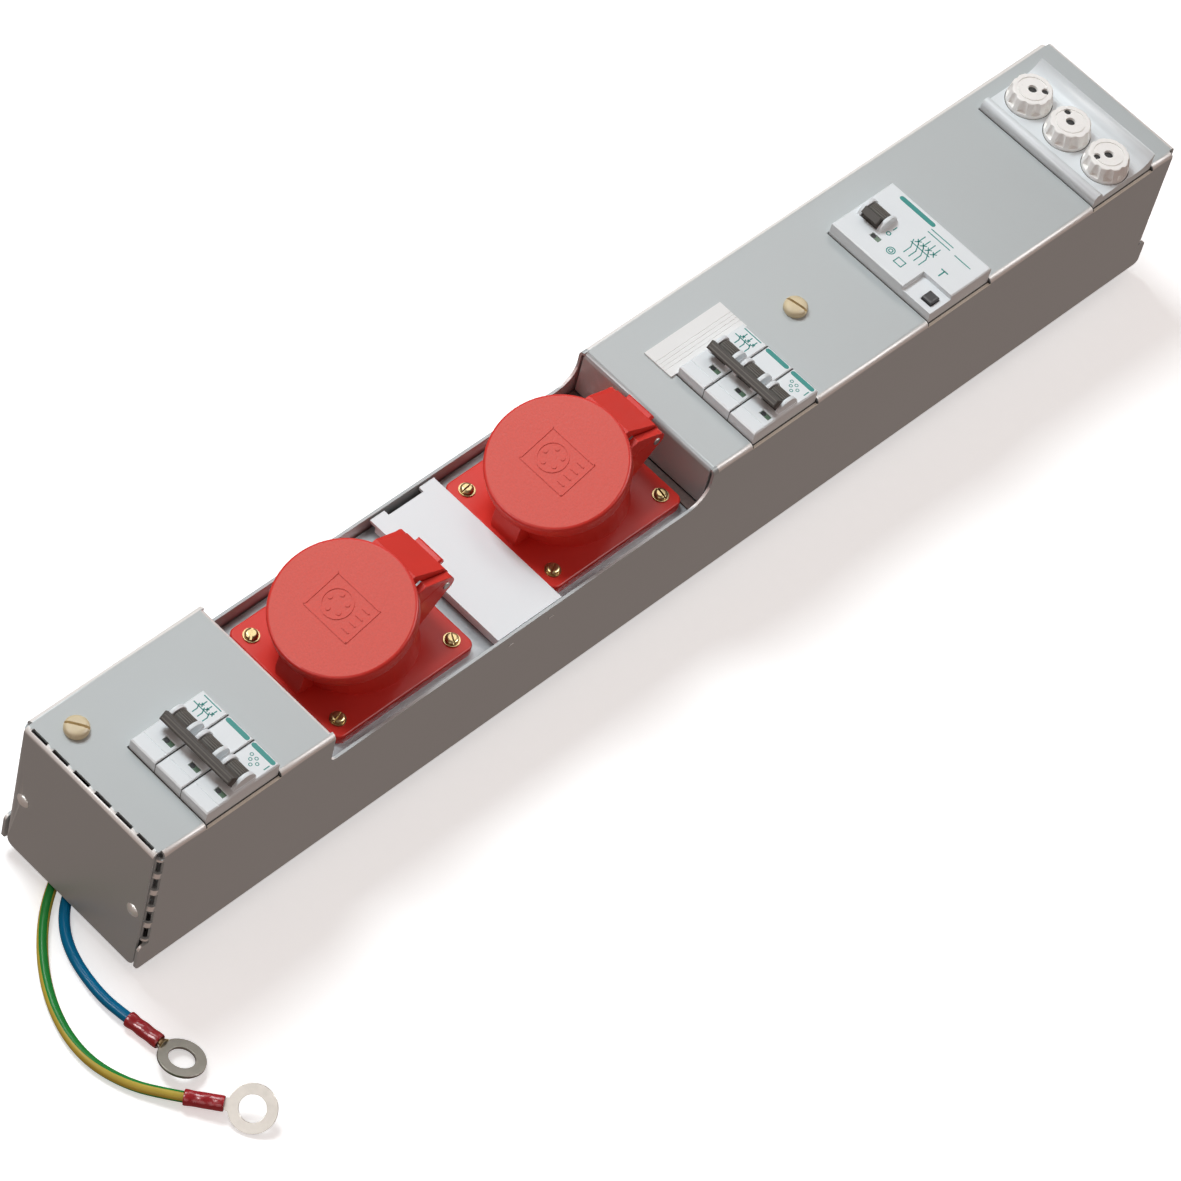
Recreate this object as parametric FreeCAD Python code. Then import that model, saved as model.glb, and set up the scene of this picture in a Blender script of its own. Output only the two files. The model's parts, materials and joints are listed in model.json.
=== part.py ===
import FreeCAD, Part
import math
import os

from FreeCAD import Vector

# Industrial power strip: a folded sheet-steel hood over a base tray, with two inclined
# five-pole sockets, two three-pole breakers, a residual-current switch and a fuse block.
# Millimetres. Layout frame: X from the left end plate, Y from the near wall, Z from the floor.
# Finished pieces are shifted so that the origin lies under the middle of the strip.

# Hood: one folded sheet
LEFT_COVER = 110.5
RIGHT_COVER = 344.5
WIDTH = 94.0
HOOD_HEIGHT = 91.4
HOOD_LIFT = 8.0
SHEET = 1.5
BEND_R = 3.0
FOLD_GAP = 0.3
CORNER_FLANGE = 14.0
WALL_TAB_HEIGHT = 18.0
WALL_TAB_OUT = 1.2
WALL_TAB_R = 3.0
TAB_RELIEF = 2.0
PLATE_CORNER_R = 4.0
PLATE_DROP = 1.0
TOP = HOOD_LIFT + HOOD_HEIGHT

# Perforated bend lines at the left end of the hood
TOP_SLOTS = 6
TOP_SLOT_MARGIN = 5.75
TOP_SLOT_BRIDGE = 3.9
WALL_SLOTS = 5
TOP_SLOT_IN = 1.5
TOP_SLOT_WIDTH = 1.8
WALL_SLOT_LENGTH = 9.8
WALL_SLOT_PITCH = 13.6
WALL_SLOT_WIDTH = 3.6

# Recess for the sockets
RECESS_DROP = 21.5
RECESS_START_R = 4.0
RECESS_END_R = 12.0
RECESS_FLANGE_GAP = 2.0
SOCKET_LEFT_GAP = 13.0
SOCKET_RIGHT_GAP = 6.5

# Rivets that hold the end plates to the corner flanges
RIVET_DROP = 52.0
RIVET_INSET = 9.0
RIVET_R = 2.0
RIVET_HEAD_R = 4.0
RIVET_HEAD = 1.6
RIVET_TAIL_R = 3.0
FASTENER_GAP = 0.1

# Base tray
TRAY_SHEET = 2.0
TRAY_INSET_X = 10.0
TRAY_INSET_Y = 6.0
TRAY_WALL = 14.0
CABLE_NOTCH_LENGTH = 28.0
CABLE_NOTCH_NEAR = 49.4
CABLE_NOTCH_FAR = 72.4
MOUNT_SLOT_LENGTH = 14.0
MOUNT_SLOT_R = 3.25
MOUNT_SLOT_PITCH_X = 506.0
MOUNT_SLOT_PITCH_Y = 40.0

# Nylon cover screws and the pillars they go into
COVER_SCREW_INSET_X = 18.2
COVER_SCREW_INSET_Y = 18.0
COVER_SCREW_GAP = 13.7
COVER_SCREW_Y = 47.7
PILLAR_R = 4.5
COVER_SCREW_R = 2.9
COVER_HEAD_R = 6.2
COVER_HEAD = 4.4
COVER_SLOT = 1.4
COVER_SLOT_DEPTH = 1.6
COVER_SCREW_LENGTH = 14.0
COVER_SLOT_TURNS = (-55.0, -79.0)

# Rails and the stands under them
RAIL_WIDTH = 35.0
RAIL_DEPTH = 7.5
RAIL_SHEET = 1.0
RAIL_CROWN = 25.0
RAIL_TOP = 37.4
STAND_WIDTH = 12.0
STAND_SHEET = 2.0
STAND_NEAR = 8.0

# Modular devices
MODULE = 17.5
MODULE_GAP = 0.3
DEVICE_CLEARANCE = 0.4
DEVICE_NEAR = SHEET + DEVICE_CLEARANCE
NOSE = 45.0
OPENING_GAP = 0.8
SHOULDER = 82.0
SHOULDER_DROP = 13.0
SHOULDER_CHAMFER = 5.0
RAIL_BITE = 5.0
NOSE_CHAMFER = 0.8
BREAKER_POLES = 3
BREAKER_PROUD = 6.5
BREAKER_INSET = 53.2
BREAKER_FROM_RECESS = 50.6
SWITCH_MODULES = 4
SWITCH_PROUD = 8.2
SWITCH_FROM_BREAKER = 126.4
FUSE_INSET = 43.0

# Breaker toggles and faces
TOGGLE_OFFSET = 2.3
TOGGLE_SUNK = 1.5
TOGGLE_LEAN = 42.0
BARREL_R = 6.0
BARREL_GAP = 0.4
TOGGLE_WIDTH = 8.8
PADDLE = 4.0
PADDLE_REACH = 9.5
TIE_BAR = 5.0
TIE_BAR_DEPTH = 4.0
TIE_BAR_END = 2.6
CHEEK = 2.2
CHEEK_R = 7.0
WINDOW_OFFSET = -9.7
WINDOW_SIDE = -3.6
WINDOW_LENGTH = 6.0
WINDOW_WIDTH = 3.0
WINDOW_DEPTH = 1.4
WINDOW_GAP = 0.1
WINDOW_SUNK = 0.4
LABEL_GROOVE_OFFSET = -15.2
LABEL_GROOVE = 0.4

# Residual-current switch face
SWITCH_TOGGLE_OFFSET = -1.0
SWITCH_TOGGLE_Y = 60.4
SWITCH_TOGGLE_WIDTH = 10.6
SWITCH_LEAN = 40.0
SWITCH_PADDLE_REACH = 10.0
SWITCH_WINDOW_OFFSET = -11.2
SWITCH_WINDOW_Y = 51.7
CORNER_STEP_X = 15.2
CORNER_STEP_Y = 19.6
CORNER_STEP = 3.0
TEST_BUTTON = 6.4
TEST_BUTTON_X = 7.0
TEST_BUTTON_Y = 6.6
TEST_BUTTON_PROUD = 2.4
TEST_BUTTON_SUNK = 5.0
TEST_BUTTON_GAP = 0.3
TEST_BUTTON_TRAVEL = 1.5

# Blank over the unused module place
BLANK_SHEET = 1.0
BLANK_OVERLAP = 4.2
BLANK_LEG = 1.2
BLANK_LEG_DROP = 8.0
BLANK_LEG_LENGTH = 12.0
BLANK_SCORES = 4
BLANK_SCORE = 0.3
BLANK_SCORE_START = 4.4
BLANK_SCORE_PITCH = 2.2

# Fuse block
FUSE_POLES = 3
FUSE_BLOCK_TRIM = 0.6
FUSE_SHOULDER = 70.0
FUSE_FACE = 3.0
FUSE_COVER_BASE = 9.0
FUSE_RIDGE_R = 3.2
FUSE_WALL = 11.0
FUSE_WALL_HEIGHT = 7.0
CAP_R = 12.3
CAP_SPACING = 2.4
CAP_TAPER = 1.45
CAP_SUNK = 2.0
CAP_HEIGHT = 11.5
CAP_SKIRT = 4.2
CAP_GAP = 0.4
CAP_FLUTES = 10
CAP_FLUTE_R = 2.6
CAP_FLUTE_OUT = 0.45
CAP_RING_R = 7.6
CAP_RING = 0.6
CAP_SIGHT_R = 2.5
CAP_PROBE_R = 1.9
CAP_PROBE_AT = 6.6
CAP_PROBE_DEPTH = 4.0
CAP_TURNS = (155.0, 56.0, -51.0)
NECK_R = 8.8
NECK_LENGTH = 22.0
LINK_R = 5.4
LINK_LENGTH = 36.0
LINK_GAP = 0.4

# Sockets, in their own frame: origin on the flange's top face, w along the plug's axis
SOCKET_TILT = 20.0
FLANGE_LENGTH = 90.0
FLANGE_WIDTH = 78.0
FLANGE = 5.5
FLANGE_DROP = 24.5
FLANGE_CORNER_R = 5.0
FLANGE_EDGE_R = 1.2
FIXING_LENGTH = 74.0
FIXING_WIDTH = 60.0
COLLAR_R = 31.5
COLLAR_WALL = 3.0
REAR_WALL = 2.7
REAR_OFFSET = 2.0
REAR_DEPTH = 30.0
CAVITY_FLOOR = -14.0
KEYWAY_R = 4.0
BUTTRESS_OUT = 9.5
BUTTRESS_WIDTH = 17.0
BUTTRESS_SLOPE = 16.0
BUTTRESS_R = 4.0
LID_TOP = 37.5
LID_WALL = 2.4
LID_PLATE = 3.0
LID_DEPTH = 8.0
LID_EDGE_R = 1.6
LID_CLEARANCE = 1.9
GASKET = 1.2
GASKET_GAP = 0.3
HINGE_OUT = 10.9
HINGE_DROP = 24.0
PIN_R = 2.0
PIN_GAP = 0.06
PIN_PROUD = 0.6
EAR = 4.2
EAR_R = 5.0
EAR_ROOT = 17.0
EAR_GAP = 0.5
ARM_WIDTH = 26.0
ARM_SLOPE = 4.3
KNUCKLE_R = 5.4
SPRING_GAP = 11.6
SPRING_WIRE = 1.0
SPRING_TURNS = 6
THUMB_TAB = 16.8
THUMB_REACH = 7.4
THUMB_SHEET = 3.0
INSERT_SPACE = 4.0
INSERT_RECESS = 14.0
INSERT_RIM = 4.0
INSERT_GAP = 0.3
CONTACT_PCD = 34.0
CONTACTS = 5
CONTACT_R = 3.6
CONTACT_BORE_R = 2.5
CONTACT_LENGTH = 24.0
CONTACT_SUNK = 4.0
CONTACT_GAP = 0.1
FIXING_R = 2.0
FIXING_HEAD_R = 4.2
FIXING_HEAD = 2.6
FIXING_LENGTH_BELOW = 6.0

# Plate that carries the sockets, and the blank plate between them
CARRIER_SHEET = 1.5
CARRIER_LAP_LEFT = 6.5
CARRIER_LAP_RIGHT = 4.5
CARRIER_SIDE_GAP = 1.0
CARRIER_LEG_INSET = 8.0
CARRIER_LEG_NEAR = 10.0
CARRIER_LEG_FAR = 64.0
CARRIER_FOOT = 12.0
CARRIER_HOLE_GAP = 1.0
BLANK_PLATE_WIDTH = 42.5
BLANK_PLATE_GAP_LEFT = 8.5
BLANK_PLATE_GAP_RIGHT = 0.5
BLANK_PLATE = 2.0
BLANK_PLATE_DROP = 22.7
BLANK_PLATE_SIDE_GAP = 0.8
BLANK_PLATE_LEG = 1.5
BLANK_PLATE_LEG_INSET = 1.2
BLANK_TAB_LEFT = 9.5
BLANK_TAB_RIGHT = 10.0
BLANK_NOTCH = 3.2

# Supply wires with ring lugs
WIRE_R = 2.75
TERMINAL_X = 40.1
TERMINAL_LENGTH = 22.0
TERMINAL_WIDTH = 8.0
TERMINAL_HEIGHT = 14.0
TERMINAL_SCREW_R = 2.4
SLEEVE_GAP = 0.25
SLEEVE_WALL = 1.0
SLEEVE_LENGTH = 19.0
WIRE_IN_SLEEVE = 8.0
ROUTE_ARC = 0.45
BARREL_LUG_WALL = 0.15
BARREL_LUG_LENGTH = 10.0
LUG_SHEET = 1.6
LUG_RING_R = 11.75
LUG_HOLE_R = 6.5
LUG_RING_AT = 32.0
LUG_NECK = 8.0
EARTH_TWIST = 38.0
NEUTRAL_TWIST = -13.5
EARTH_ROUTE = (
    (TERMINAL_X, 70.0, 6.4), (26.1, 70.0, 6.4), (13.6, 66.6, 3.6), (1.1, 60.2, 2.9), (-12.4, 50.2, 2.9),
    (-24.9, 37.2, 2.9), (-34.9, 23.2, 2.9), (-42.3, 8.4, 2.9), (-46.9, -7.6, 2.9), (-47.3, -23.6, 2.9),
    (-42.7, -39.2, 2.9), (-35.3, -52.6, 3.5), (-27.3, -63.4, 4.9),
)
NEUTRAL_ROUTE = (
    (TERMINAL_X, 60.7, 6.2), (27.6, 60.7, 6.2), (15.6, 58.0, 3.6), (4.6, 52.7, 2.9), (-4.4, 45.1, 2.9),
    (-11.4, 35.8, 2.9), (-15.9, 25.2, 2.9), (-18.5, 13.6, 2.9), (-19.8, 2.0, 3.1), (-19.8, -8.1, 3.9),
    (-18.7, -16.0, 4.1),
)

# Values that follow from the driving dimensions
SOCKET_1 = LEFT_COVER + SOCKET_LEFT_GAP + FLANGE_LENGTH / 2
BLANK_PLATE_START = SOCKET_1 + FLANGE_LENGTH / 2 + BLANK_PLATE_GAP_LEFT
BLANK_PLATE_END = BLANK_PLATE_START + BLANK_PLATE_WIDTH
SOCKET_2 = BLANK_PLATE_END + BLANK_PLATE_GAP_RIGHT + FLANGE_LENGTH / 2
SOCKET_CENTRES = (SOCKET_1, SOCKET_2)
RECESS_START = LEFT_COVER
RECESS_END = SOCKET_2 + FLANGE_LENGTH / 2 + SOCKET_RIGHT_GAP
LENGTH = RECESS_END + RIGHT_COVER
BREAKER_CENTRES = (BREAKER_INSET, RECESS_END + BREAKER_FROM_RECESS)
SWITCH_CENTRE = BREAKER_CENTRES[1] + SWITCH_FROM_BREAKER
FUSE_CENTRE = LENGTH - FUSE_INSET
COVER_SCREWS = (
    (COVER_SCREW_INSET_X, WIDTH - COVER_SCREW_INSET_Y),
    (BREAKER_CENTRES[1] + SHOULDER / 2 + COVER_SCREW_GAP, COVER_SCREW_Y),
)
MIDDLE = WIDTH / 2
CROWN = TOP - SHEET
RECESS_LOW = TOP - RECESS_DROP
FLANGE_TOP = TOP - FLANGE_DROP
CARRIER_TOP = FLANGE_TOP - FLANGE
CARRIER_START = RECESS_START - CARRIER_LAP_LEFT
CARRIER_END = RECESS_END + CARRIER_LAP_RIGHT
RECESS_FLANGE = TOP - CARRIER_TOP - RECESS_FLANGE_GAP
WALL_START = SHEET + FOLD_GAP + BEND_R
TOP_SLOT_PITCH = (WIDTH - 2 * TOP_SLOT_MARGIN + TOP_SLOT_BRIDGE) / TOP_SLOTS
TOP_SLOT_LENGTH = TOP_SLOT_PITCH - TOP_SLOT_BRIDGE
COLLAR_RIM = LID_TOP - LID_PLATE - GASKET - GASKET_GAP
CAVITY_R = COLLAR_R - COLLAR_WALL
LID_INNER_R = COLLAR_R + LID_CLEARANCE
LID_R = LID_INNER_R + LID_WALL
HINGE_U = LID_R + HINGE_OUT
REAR_R = CAVITY_R / math.cos(math.radians(SOCKET_TILT)) + REAR_WALL
INSERT_R = CAVITY_R - INSERT_SPACE
INSERT_TOP = COLLAR_RIM - INSERT_RECESS
BREAKER_WIDTH = BREAKER_POLES * MODULE
SWITCH_WIDTH = SWITCH_MODULES * MODULE
FUSE_PITCH = 2 * CAP_R + CAP_SPACING
FUSE_WIDTH = FUSE_POLES * FUSE_PITCH - FUSE_BLOCK_TRIM
FUSE_FACE_Z = TOP + FUSE_FACE
CAP_BASE = FUSE_FACE_Z - CAP_SUNK
BARREL_LUG_R = WIRE_R + BARREL_LUG_WALL
SLEEVE_R = WIRE_R + SLEEVE_GAP + SLEEVE_WALL
OVER = 1.0
ORIGIN = Vector(-LENGTH / 2, -WIDTH / 2, 0)
ACROSS = Vector(0, 1, 0)
UP = Vector(0, 0, 1)


def block(x0, x1, y0, y1, z0, z1):
    """A box between two corners."""
    return Part.makeBox(x1 - x0, y1 - y0, z1 - z0, Vector(x0, y0, z0))


def rod(radius, start, end):
    """A cylinder between two points."""
    return Part.makeCylinder(radius, (end - start).Length, start, end - start)


def fuse(*shapes):
    """One solid from overlapping shapes."""
    return shapes[0].fuse(list(shapes[1:])).removeSplitter()


def cut(shape, *tools):
    """A shape with tools taken out of it."""
    return shape.cut(list(tools)).removeSplitter()


def prism(points, near, far):
    """An XZ outline carried across from one Y to another."""
    corners = [Vector(x, near, z) for x, z in points]
    face = Part.Face(Part.makePolygon(corners + corners[:1]))
    return face.extrude(Vector(0, far - near, 0))


def symmetric(right, centre):
    """A closed outline from its right half, mirrored about a centre line."""
    left = [(-x, z) for x, z in reversed(right)]
    return [(centre + x, z) for x, z in list(right) + left]


def edges_at(shape, direction, **place):
    """Straight edges along a direction whose middle has the given coordinates."""
    found = []
    for edge in shape.Edges:
        if edge.Curve.TypeId != "Part::GeomLine":
            continue
        if abs(edge.tangentAt(edge.FirstParameter).dot(direction)) < 0.999:
            continue
        middle = edge.CenterOfMass
        if all(abs(getattr(middle, axis) - value) < 0.001 for axis, value in place.items()):
            found.append(edge)
    return found


def rim_edges(shape, height):
    """All edges that lie at one height."""
    return [edge for edge in shape.Edges
            if abs(edge.BoundBox.ZMin - height) < 0.001 and abs(edge.BoundBox.ZMax - height) < 0.001]


def mirror_x(shape):
    """The same shape at the other end of the strip."""
    return shape.mirror(Vector(LENGTH / 2, 0, 0), Vector(1, 0, 0))


def mirror_y(shape):
    """The same shape at the other wall of the strip."""
    return shape.mirror(Vector(0, MIDDLE, 0), Vector(0, 1, 0))


def save(node, *solids):
    """Write one node, shifted to the strip's own origin."""
    shape = solids[0] if len(solids) == 1 else Part.makeCompound(list(solids))
    shape = shape.copy()
    shape.translate(ORIGIN)
    shape.exportStep("parts/%s.step" % node)


def hood_channel():
    """The hood's top and side walls with their long bends."""
    outer = block(WALL_START, LENGTH - WALL_START, 0, WIDTH, HOOD_LIFT, TOP)
    outer = outer.makeFillet(BEND_R, edges_at(outer, Vector(1, 0, 0), z=TOP))
    inner = block(0, LENGTH, SHEET, WIDTH - SHEET, 0, CROWN)
    inner = inner.makeFillet(BEND_R - SHEET, edges_at(inner, Vector(1, 0, 0), z=CROWN))
    return outer.cut(inner)


def bent_edge(x_face, lip, drop):
    """A lip of the top that turns down at x_face; lip is negative for a lip towards the left end."""
    near = BEND_R
    far = WIDTH - BEND_R
    side = math.copysign(1, lip)
    inside = x_face + side * SHEET
    points = ((x_face, TOP - drop), (x_face, TOP), (x_face + lip, TOP), (x_face + lip, CROWN),
              (inside, CROWN), (inside, TOP - drop))
    strip = prism(points, near, far)
    strip = strip.makeFillet(BEND_R, edges_at(strip, ACROSS, x=x_face, z=TOP))
    return strip.makeFillet(BEND_R - SHEET, edges_at(strip, ACROSS, x=inside, z=CROWN))


def end_plate(perforated):
    """Left end plate, bent down from the top, along a perforated line if so asked."""
    low = HOOD_LIFT - PLATE_DROP
    plate = block(0, SHEET, BEND_R, WIDTH - BEND_R, low, TOP - BEND_R - OVER)
    plate = plate.makeFillet(PLATE_CORNER_R, edges_at(plate, Vector(1, 0, 0), z=low))
    folded = fuse(bent_edge(0, WALL_START + BEND_R, HOOD_HEIGHT / 2), plate)
    if not perforated:
        return folded
    slots = []
    for index in range(TOP_SLOTS):
        start = TOP_SLOT_MARGIN + index * TOP_SLOT_PITCH
        slots.append(block(TOP_SLOT_IN, TOP_SLOT_IN + TOP_SLOT_WIDTH, start, start + TOP_SLOT_LENGTH,
                           TOP - BEND_R, TOP + OVER))
    return folded.cut(slots)


def corner_flange(perforated):
    """Near wall's flange behind the left end plate, its bend perforated if so asked, and the tab below it."""
    low = HOOD_LIFT + WALL_TAB_HEIGHT + TAB_RELIEF
    high = TOP - BEND_R - OVER
    face = SHEET + FOLD_GAP
    leg = block(face, face + SHEET, 0, CORNER_FLANGE, low, high)
    wall = block(face, WALL_START + OVER, 0, SHEET, low, high)
    flange = fuse(leg, wall)
    flange = flange.makeFillet(BEND_R, edges_at(flange, UP, x=face, y=0))
    flange = flange.makeFillet(BEND_R - SHEET, edges_at(flange, UP, x=face + SHEET, y=SHEET))
    tab = block(-WALL_TAB_OUT, WALL_START + OVER, 0, SHEET, HOOD_LIFT, HOOD_LIFT + WALL_TAB_HEIGHT)
    tab = tab.makeFillet(WALL_TAB_R, edges_at(tab, ACROSS, x=-WALL_TAB_OUT))
    if not perforated:
        return flange, tab
    first = (low + high) / 2 - (WALL_SLOTS - 1) * WALL_SLOT_PITCH / 2
    slots = []
    for index in range(WALL_SLOTS):
        middle = first + index * WALL_SLOT_PITCH
        slots.append(block(0, face + WALL_SLOT_WIDTH, -OVER, BEND_R,
                           middle - WALL_SLOT_LENGTH / 2, middle + WALL_SLOT_LENGTH / 2))
    return flange.cut(slots), tab


def recess_cut():
    """Space taken out of the top and both walls between the two covers."""
    high = TOP + OVER
    points = ((RECESS_START, high), (RECESS_START, RECESS_LOW), (RECESS_END, RECESS_LOW), (RECESS_END, high))
    tool = prism(points, -OVER, WIDTH + OVER)
    tool = tool.makeFillet(RECESS_START_R, edges_at(tool, ACROSS, x=RECESS_START, z=RECESS_LOW))
    tool = tool.makeFillet(RECESS_END_R, edges_at(tool, ACROSS, x=RECESS_END, z=RECESS_LOW))
    bends = block(RECESS_START - BEND_R, RECESS_END + BEND_R, BEND_R, WIDTH - BEND_R, CROWN - OVER, high)
    return tool.fuse(bends)


def device_cut(centre, far):
    """Opening for a device's nose, run out through the near bend."""
    half = NOSE / 2 + OPENING_GAP
    low = TOP - BEND_R - FOLD_GAP
    return block(centre - half, centre + half, -OVER, far + DEVICE_CLEARANCE, low, TOP + OVER)


def rivet_places():
    """Centre of each rivet on the outer face of its end plate, with the direction outwards."""
    height = TOP - RIVET_DROP
    places = []
    for y in (RIVET_INSET, WIDTH - RIVET_INSET):
        places.append((Vector(0, y, height), Vector(-1, 0, 0)))
        places.append((Vector(LENGTH, y, height), Vector(1, 0, 0)))
    return places


def hood():
    """Whole hood: top, walls, end plates, recess and device openings in one folded sheet."""
    ends = []
    for perforated in (True, False):
        flange, tab = corner_flange(perforated)
        ends.append([end_plate(perforated), flange, tab, mirror_y(flange), mirror_y(tab)])
    left, right = ends
    sheet = fuse(hood_channel(), *left, *[mirror_x(piece) for piece in right])
    openings = [recess_cut()]
    for centre, width in ((BREAKER_CENTRES[0], BREAKER_WIDTH), (BREAKER_CENTRES[1], SWITCH_WIDTH),
                          (SWITCH_CENTRE, SWITCH_WIDTH), (FUSE_CENTRE, FUSE_WIDTH)):
        openings.append(device_cut(centre, DEVICE_NEAR + width))
    for x, y in COVER_SCREWS:
        openings.append(rod(COVER_SCREW_R + FOLD_GAP, Vector(x, y, CROWN - OVER), Vector(x, y, TOP + OVER)))
    for place, outwards in rivet_places():
        openings.append(rod(RIVET_R + FASTENER_GAP, place + outwards, place - outwards * CORNER_FLANGE))
    sheet = sheet.cut(openings)
    lip = BEND_R + OVER
    flanges = [bent_edge(RECESS_START, -lip, RECESS_FLANGE), bent_edge(RECESS_END, lip, RECESS_FLANGE)]
    return fuse(sheet, *flanges)


def end_rivets():
    """Four pop rivets: domed head outside, shank through both sheets, tail behind the flange."""
    grip = 2 * SHEET + FOLD_GAP
    rivets = []
    for place, outwards in rivet_places():
        ball_r = (RIVET_HEAD_R ** 2 + RIVET_HEAD ** 2) / (2 * RIVET_HEAD)
        ball = Part.makeSphere(ball_r, place - outwards * (ball_r - RIVET_HEAD))
        head = ball.common(rod(RIVET_HEAD_R, place, place + outwards * 2 * RIVET_HEAD))
        shank = rod(RIVET_R, place, place - outwards * grip)
        tail = rod(RIVET_TAIL_R, place - outwards * grip, place - outwards * (grip + SHEET))
        rivets.append(fuse(head, shank, tail))
    return rivets


def base_tray():
    """Shallow tray that carries everything and is bolted down through four slots."""
    x0 = TRAY_INSET_X
    x1 = LENGTH - TRAY_INSET_X
    y0 = TRAY_INSET_Y
    y1 = WIDTH - TRAY_INSET_Y
    outer = block(x0, x1, y0, y1, 0, TRAY_WALL)
    outer = outer.makeFillet(BEND_R, edges_at(outer, Vector(1, 0, 0), z=0))
    inner = block(x0 - OVER, x1 + OVER, y0 + TRAY_SHEET, y1 - TRAY_SHEET, TRAY_SHEET, TRAY_WALL + OVER)
    inner = inner.makeFillet(BEND_R - TRAY_SHEET, edges_at(inner, Vector(1, 0, 0), z=TRAY_SHEET))
    notch = block(x0 - OVER, x0 + CABLE_NOTCH_LENGTH, CABLE_NOTCH_NEAR, CABLE_NOTCH_FAR, -OVER, TRAY_WALL)
    tools = [inner, notch]
    straight = MOUNT_SLOT_LENGTH / 2 - MOUNT_SLOT_R
    for x in (LENGTH / 2 - MOUNT_SLOT_PITCH_X / 2, LENGTH / 2 + MOUNT_SLOT_PITCH_X / 2):
        for y in (MIDDLE - MOUNT_SLOT_PITCH_Y / 2, MIDDLE + MOUNT_SLOT_PITCH_Y / 2):
            for end in (x - straight, x + straight):
                tools.append(rod(MOUNT_SLOT_R, Vector(end, y, -OVER), Vector(end, y, TRAY_SHEET + OVER)))
            tools.append(block(x - straight, x + straight, y - MOUNT_SLOT_R, y + MOUNT_SLOT_R,
                               -OVER, TRAY_SHEET + OVER))
    return cut(outer, *tools)


def cover_pillars():
    """Six-sided pillars from the tray to the underside of the hood."""
    pillars = []
    for x, y in COVER_SCREWS:
        corners = [Vector(x + PILLAR_R * math.cos(math.radians(60 * k)),
                          y + PILLAR_R * math.sin(math.radians(60 * k)), TRAY_SHEET) for k in range(7)]
        pillar = Part.Face(Part.makePolygon(corners)).extrude(Vector(0, 0, CROWN - TRAY_SHEET))
        bore = rod(COVER_SCREW_R + FASTENER_GAP, Vector(x, y, CROWN - COVER_SCREW_LENGTH - OVER),
                   Vector(x, y, CROWN + OVER))
        pillars.append(pillar.cut(bore))
    return pillars


def slotted_screw(place, head_r, head, shank_r, length, slot, slot_depth, edge, turn=0.0):
    """Screw with a slotted head that sits on place and a plain shank below it, turned about its axis."""
    top = place + UP * head
    cap = rod(head_r, place, top)
    cap = cap.makeChamfer(edge, rim_edges(cap, top.z))
    groove = block(place.x - head_r - OVER, place.x + head_r + OVER, place.y - slot / 2, place.y + slot / 2,
                   top.z - slot_depth, top.z + OVER)
    groove.rotate(place, UP, turn)
    return fuse(cap.cut(groove), rod(shank_r, place - UP * length, place))


def cover_screws():
    """Slotted nylon screws that hold the hood to its pillars."""
    return [slotted_screw(Vector(x, y, TOP), COVER_HEAD_R, COVER_HEAD, COVER_SCREW_R, COVER_SCREW_LENGTH,
                          COVER_SLOT, COVER_SLOT_DEPTH, COVER_HEAD / 3, turn)
            for (x, y), turn in zip(COVER_SCREWS, COVER_SLOT_TURNS)]


def rail_layout():
    """Centre and far end of the rail under each device."""
    breakers = [(centre, DEVICE_NEAR + BREAKER_WIDTH) for centre in BREAKER_CENTRES]
    return breakers + [(SWITCH_CENTRE, DEVICE_NEAR + SWITCH_WIDTH), (FUSE_CENTRE, DEVICE_NEAR + FUSE_WIDTH)]


def din_rails():
    """Hat-section rails across the tray, one under each device."""
    bottom = RAIL_TOP - RAIL_DEPTH
    brim = RAIL_WIDTH / 2
    outer = RAIL_CROWN / 2
    inner = outer - RAIL_SHEET
    right = ((inner, bottom + RAIL_SHEET), (inner, RAIL_TOP), (brim, RAIL_TOP), (brim, RAIL_TOP - RAIL_SHEET),
             (outer, RAIL_TOP - RAIL_SHEET), (outer, bottom))
    return [prism(symmetric(right, centre), STAND_NEAR, far) for centre, far in rail_layout()]


def rail_stands():
    """Bent stands that lift each rail off the tray."""
    stands = []
    height = RAIL_TOP - RAIL_DEPTH
    half = RAIL_CROWN / 2 - RAIL_SHEET
    for centre, far in rail_layout():
        for near in (STAND_NEAR + STAND_WIDTH / 2, far - 2 * STAND_WIDTH):
            outer = block(centre - half, centre + half, near, near + STAND_WIDTH, TRAY_SHEET, height)
            inner = block(centre - half + STAND_SHEET, centre + half - STAND_SHEET, near - OVER,
                          near + STAND_WIDTH + OVER, TRAY_SHEET - OVER, height - STAND_SHEET)
            stands.append(outer.cut(inner))
    return stands


def modular_body(centre, near, far, face, shoulder):
    """Housing with a narrow nose, lower shoulders and a back that straddles its rail."""
    half = shoulder / 2
    nose = NOSE / 2
    low = RAIL_TOP - RAIL_BITE
    step = TOP - SHOULDER_DROP
    bite = RAIL_WIDTH / 2 + DEVICE_CLEARANCE
    right = ((bite, RAIL_TOP), (bite, low), (half, low), (half, step - SHOULDER_CHAMFER),
             (half - SHOULDER_CHAMFER, step), (nose, step), (nose, face))
    body = prism(symmetric(right, centre), near, far)
    return body.makeChamfer(NOSE_CHAMFER, rim_edges(body, face))


def toggle_axis(centre, face):
    """X and Z of a toggle's pivot below a face."""
    return centre, face - TOGGLE_SUNK


def toggle_pocket(x, z, middle, width):
    """Round pocket in a face for a toggle's barrel."""
    half = width / 2 + BARREL_GAP
    return rod(BARREL_R + BARREL_GAP, Vector(x, middle - half, z), Vector(x, middle + half, z))


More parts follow.
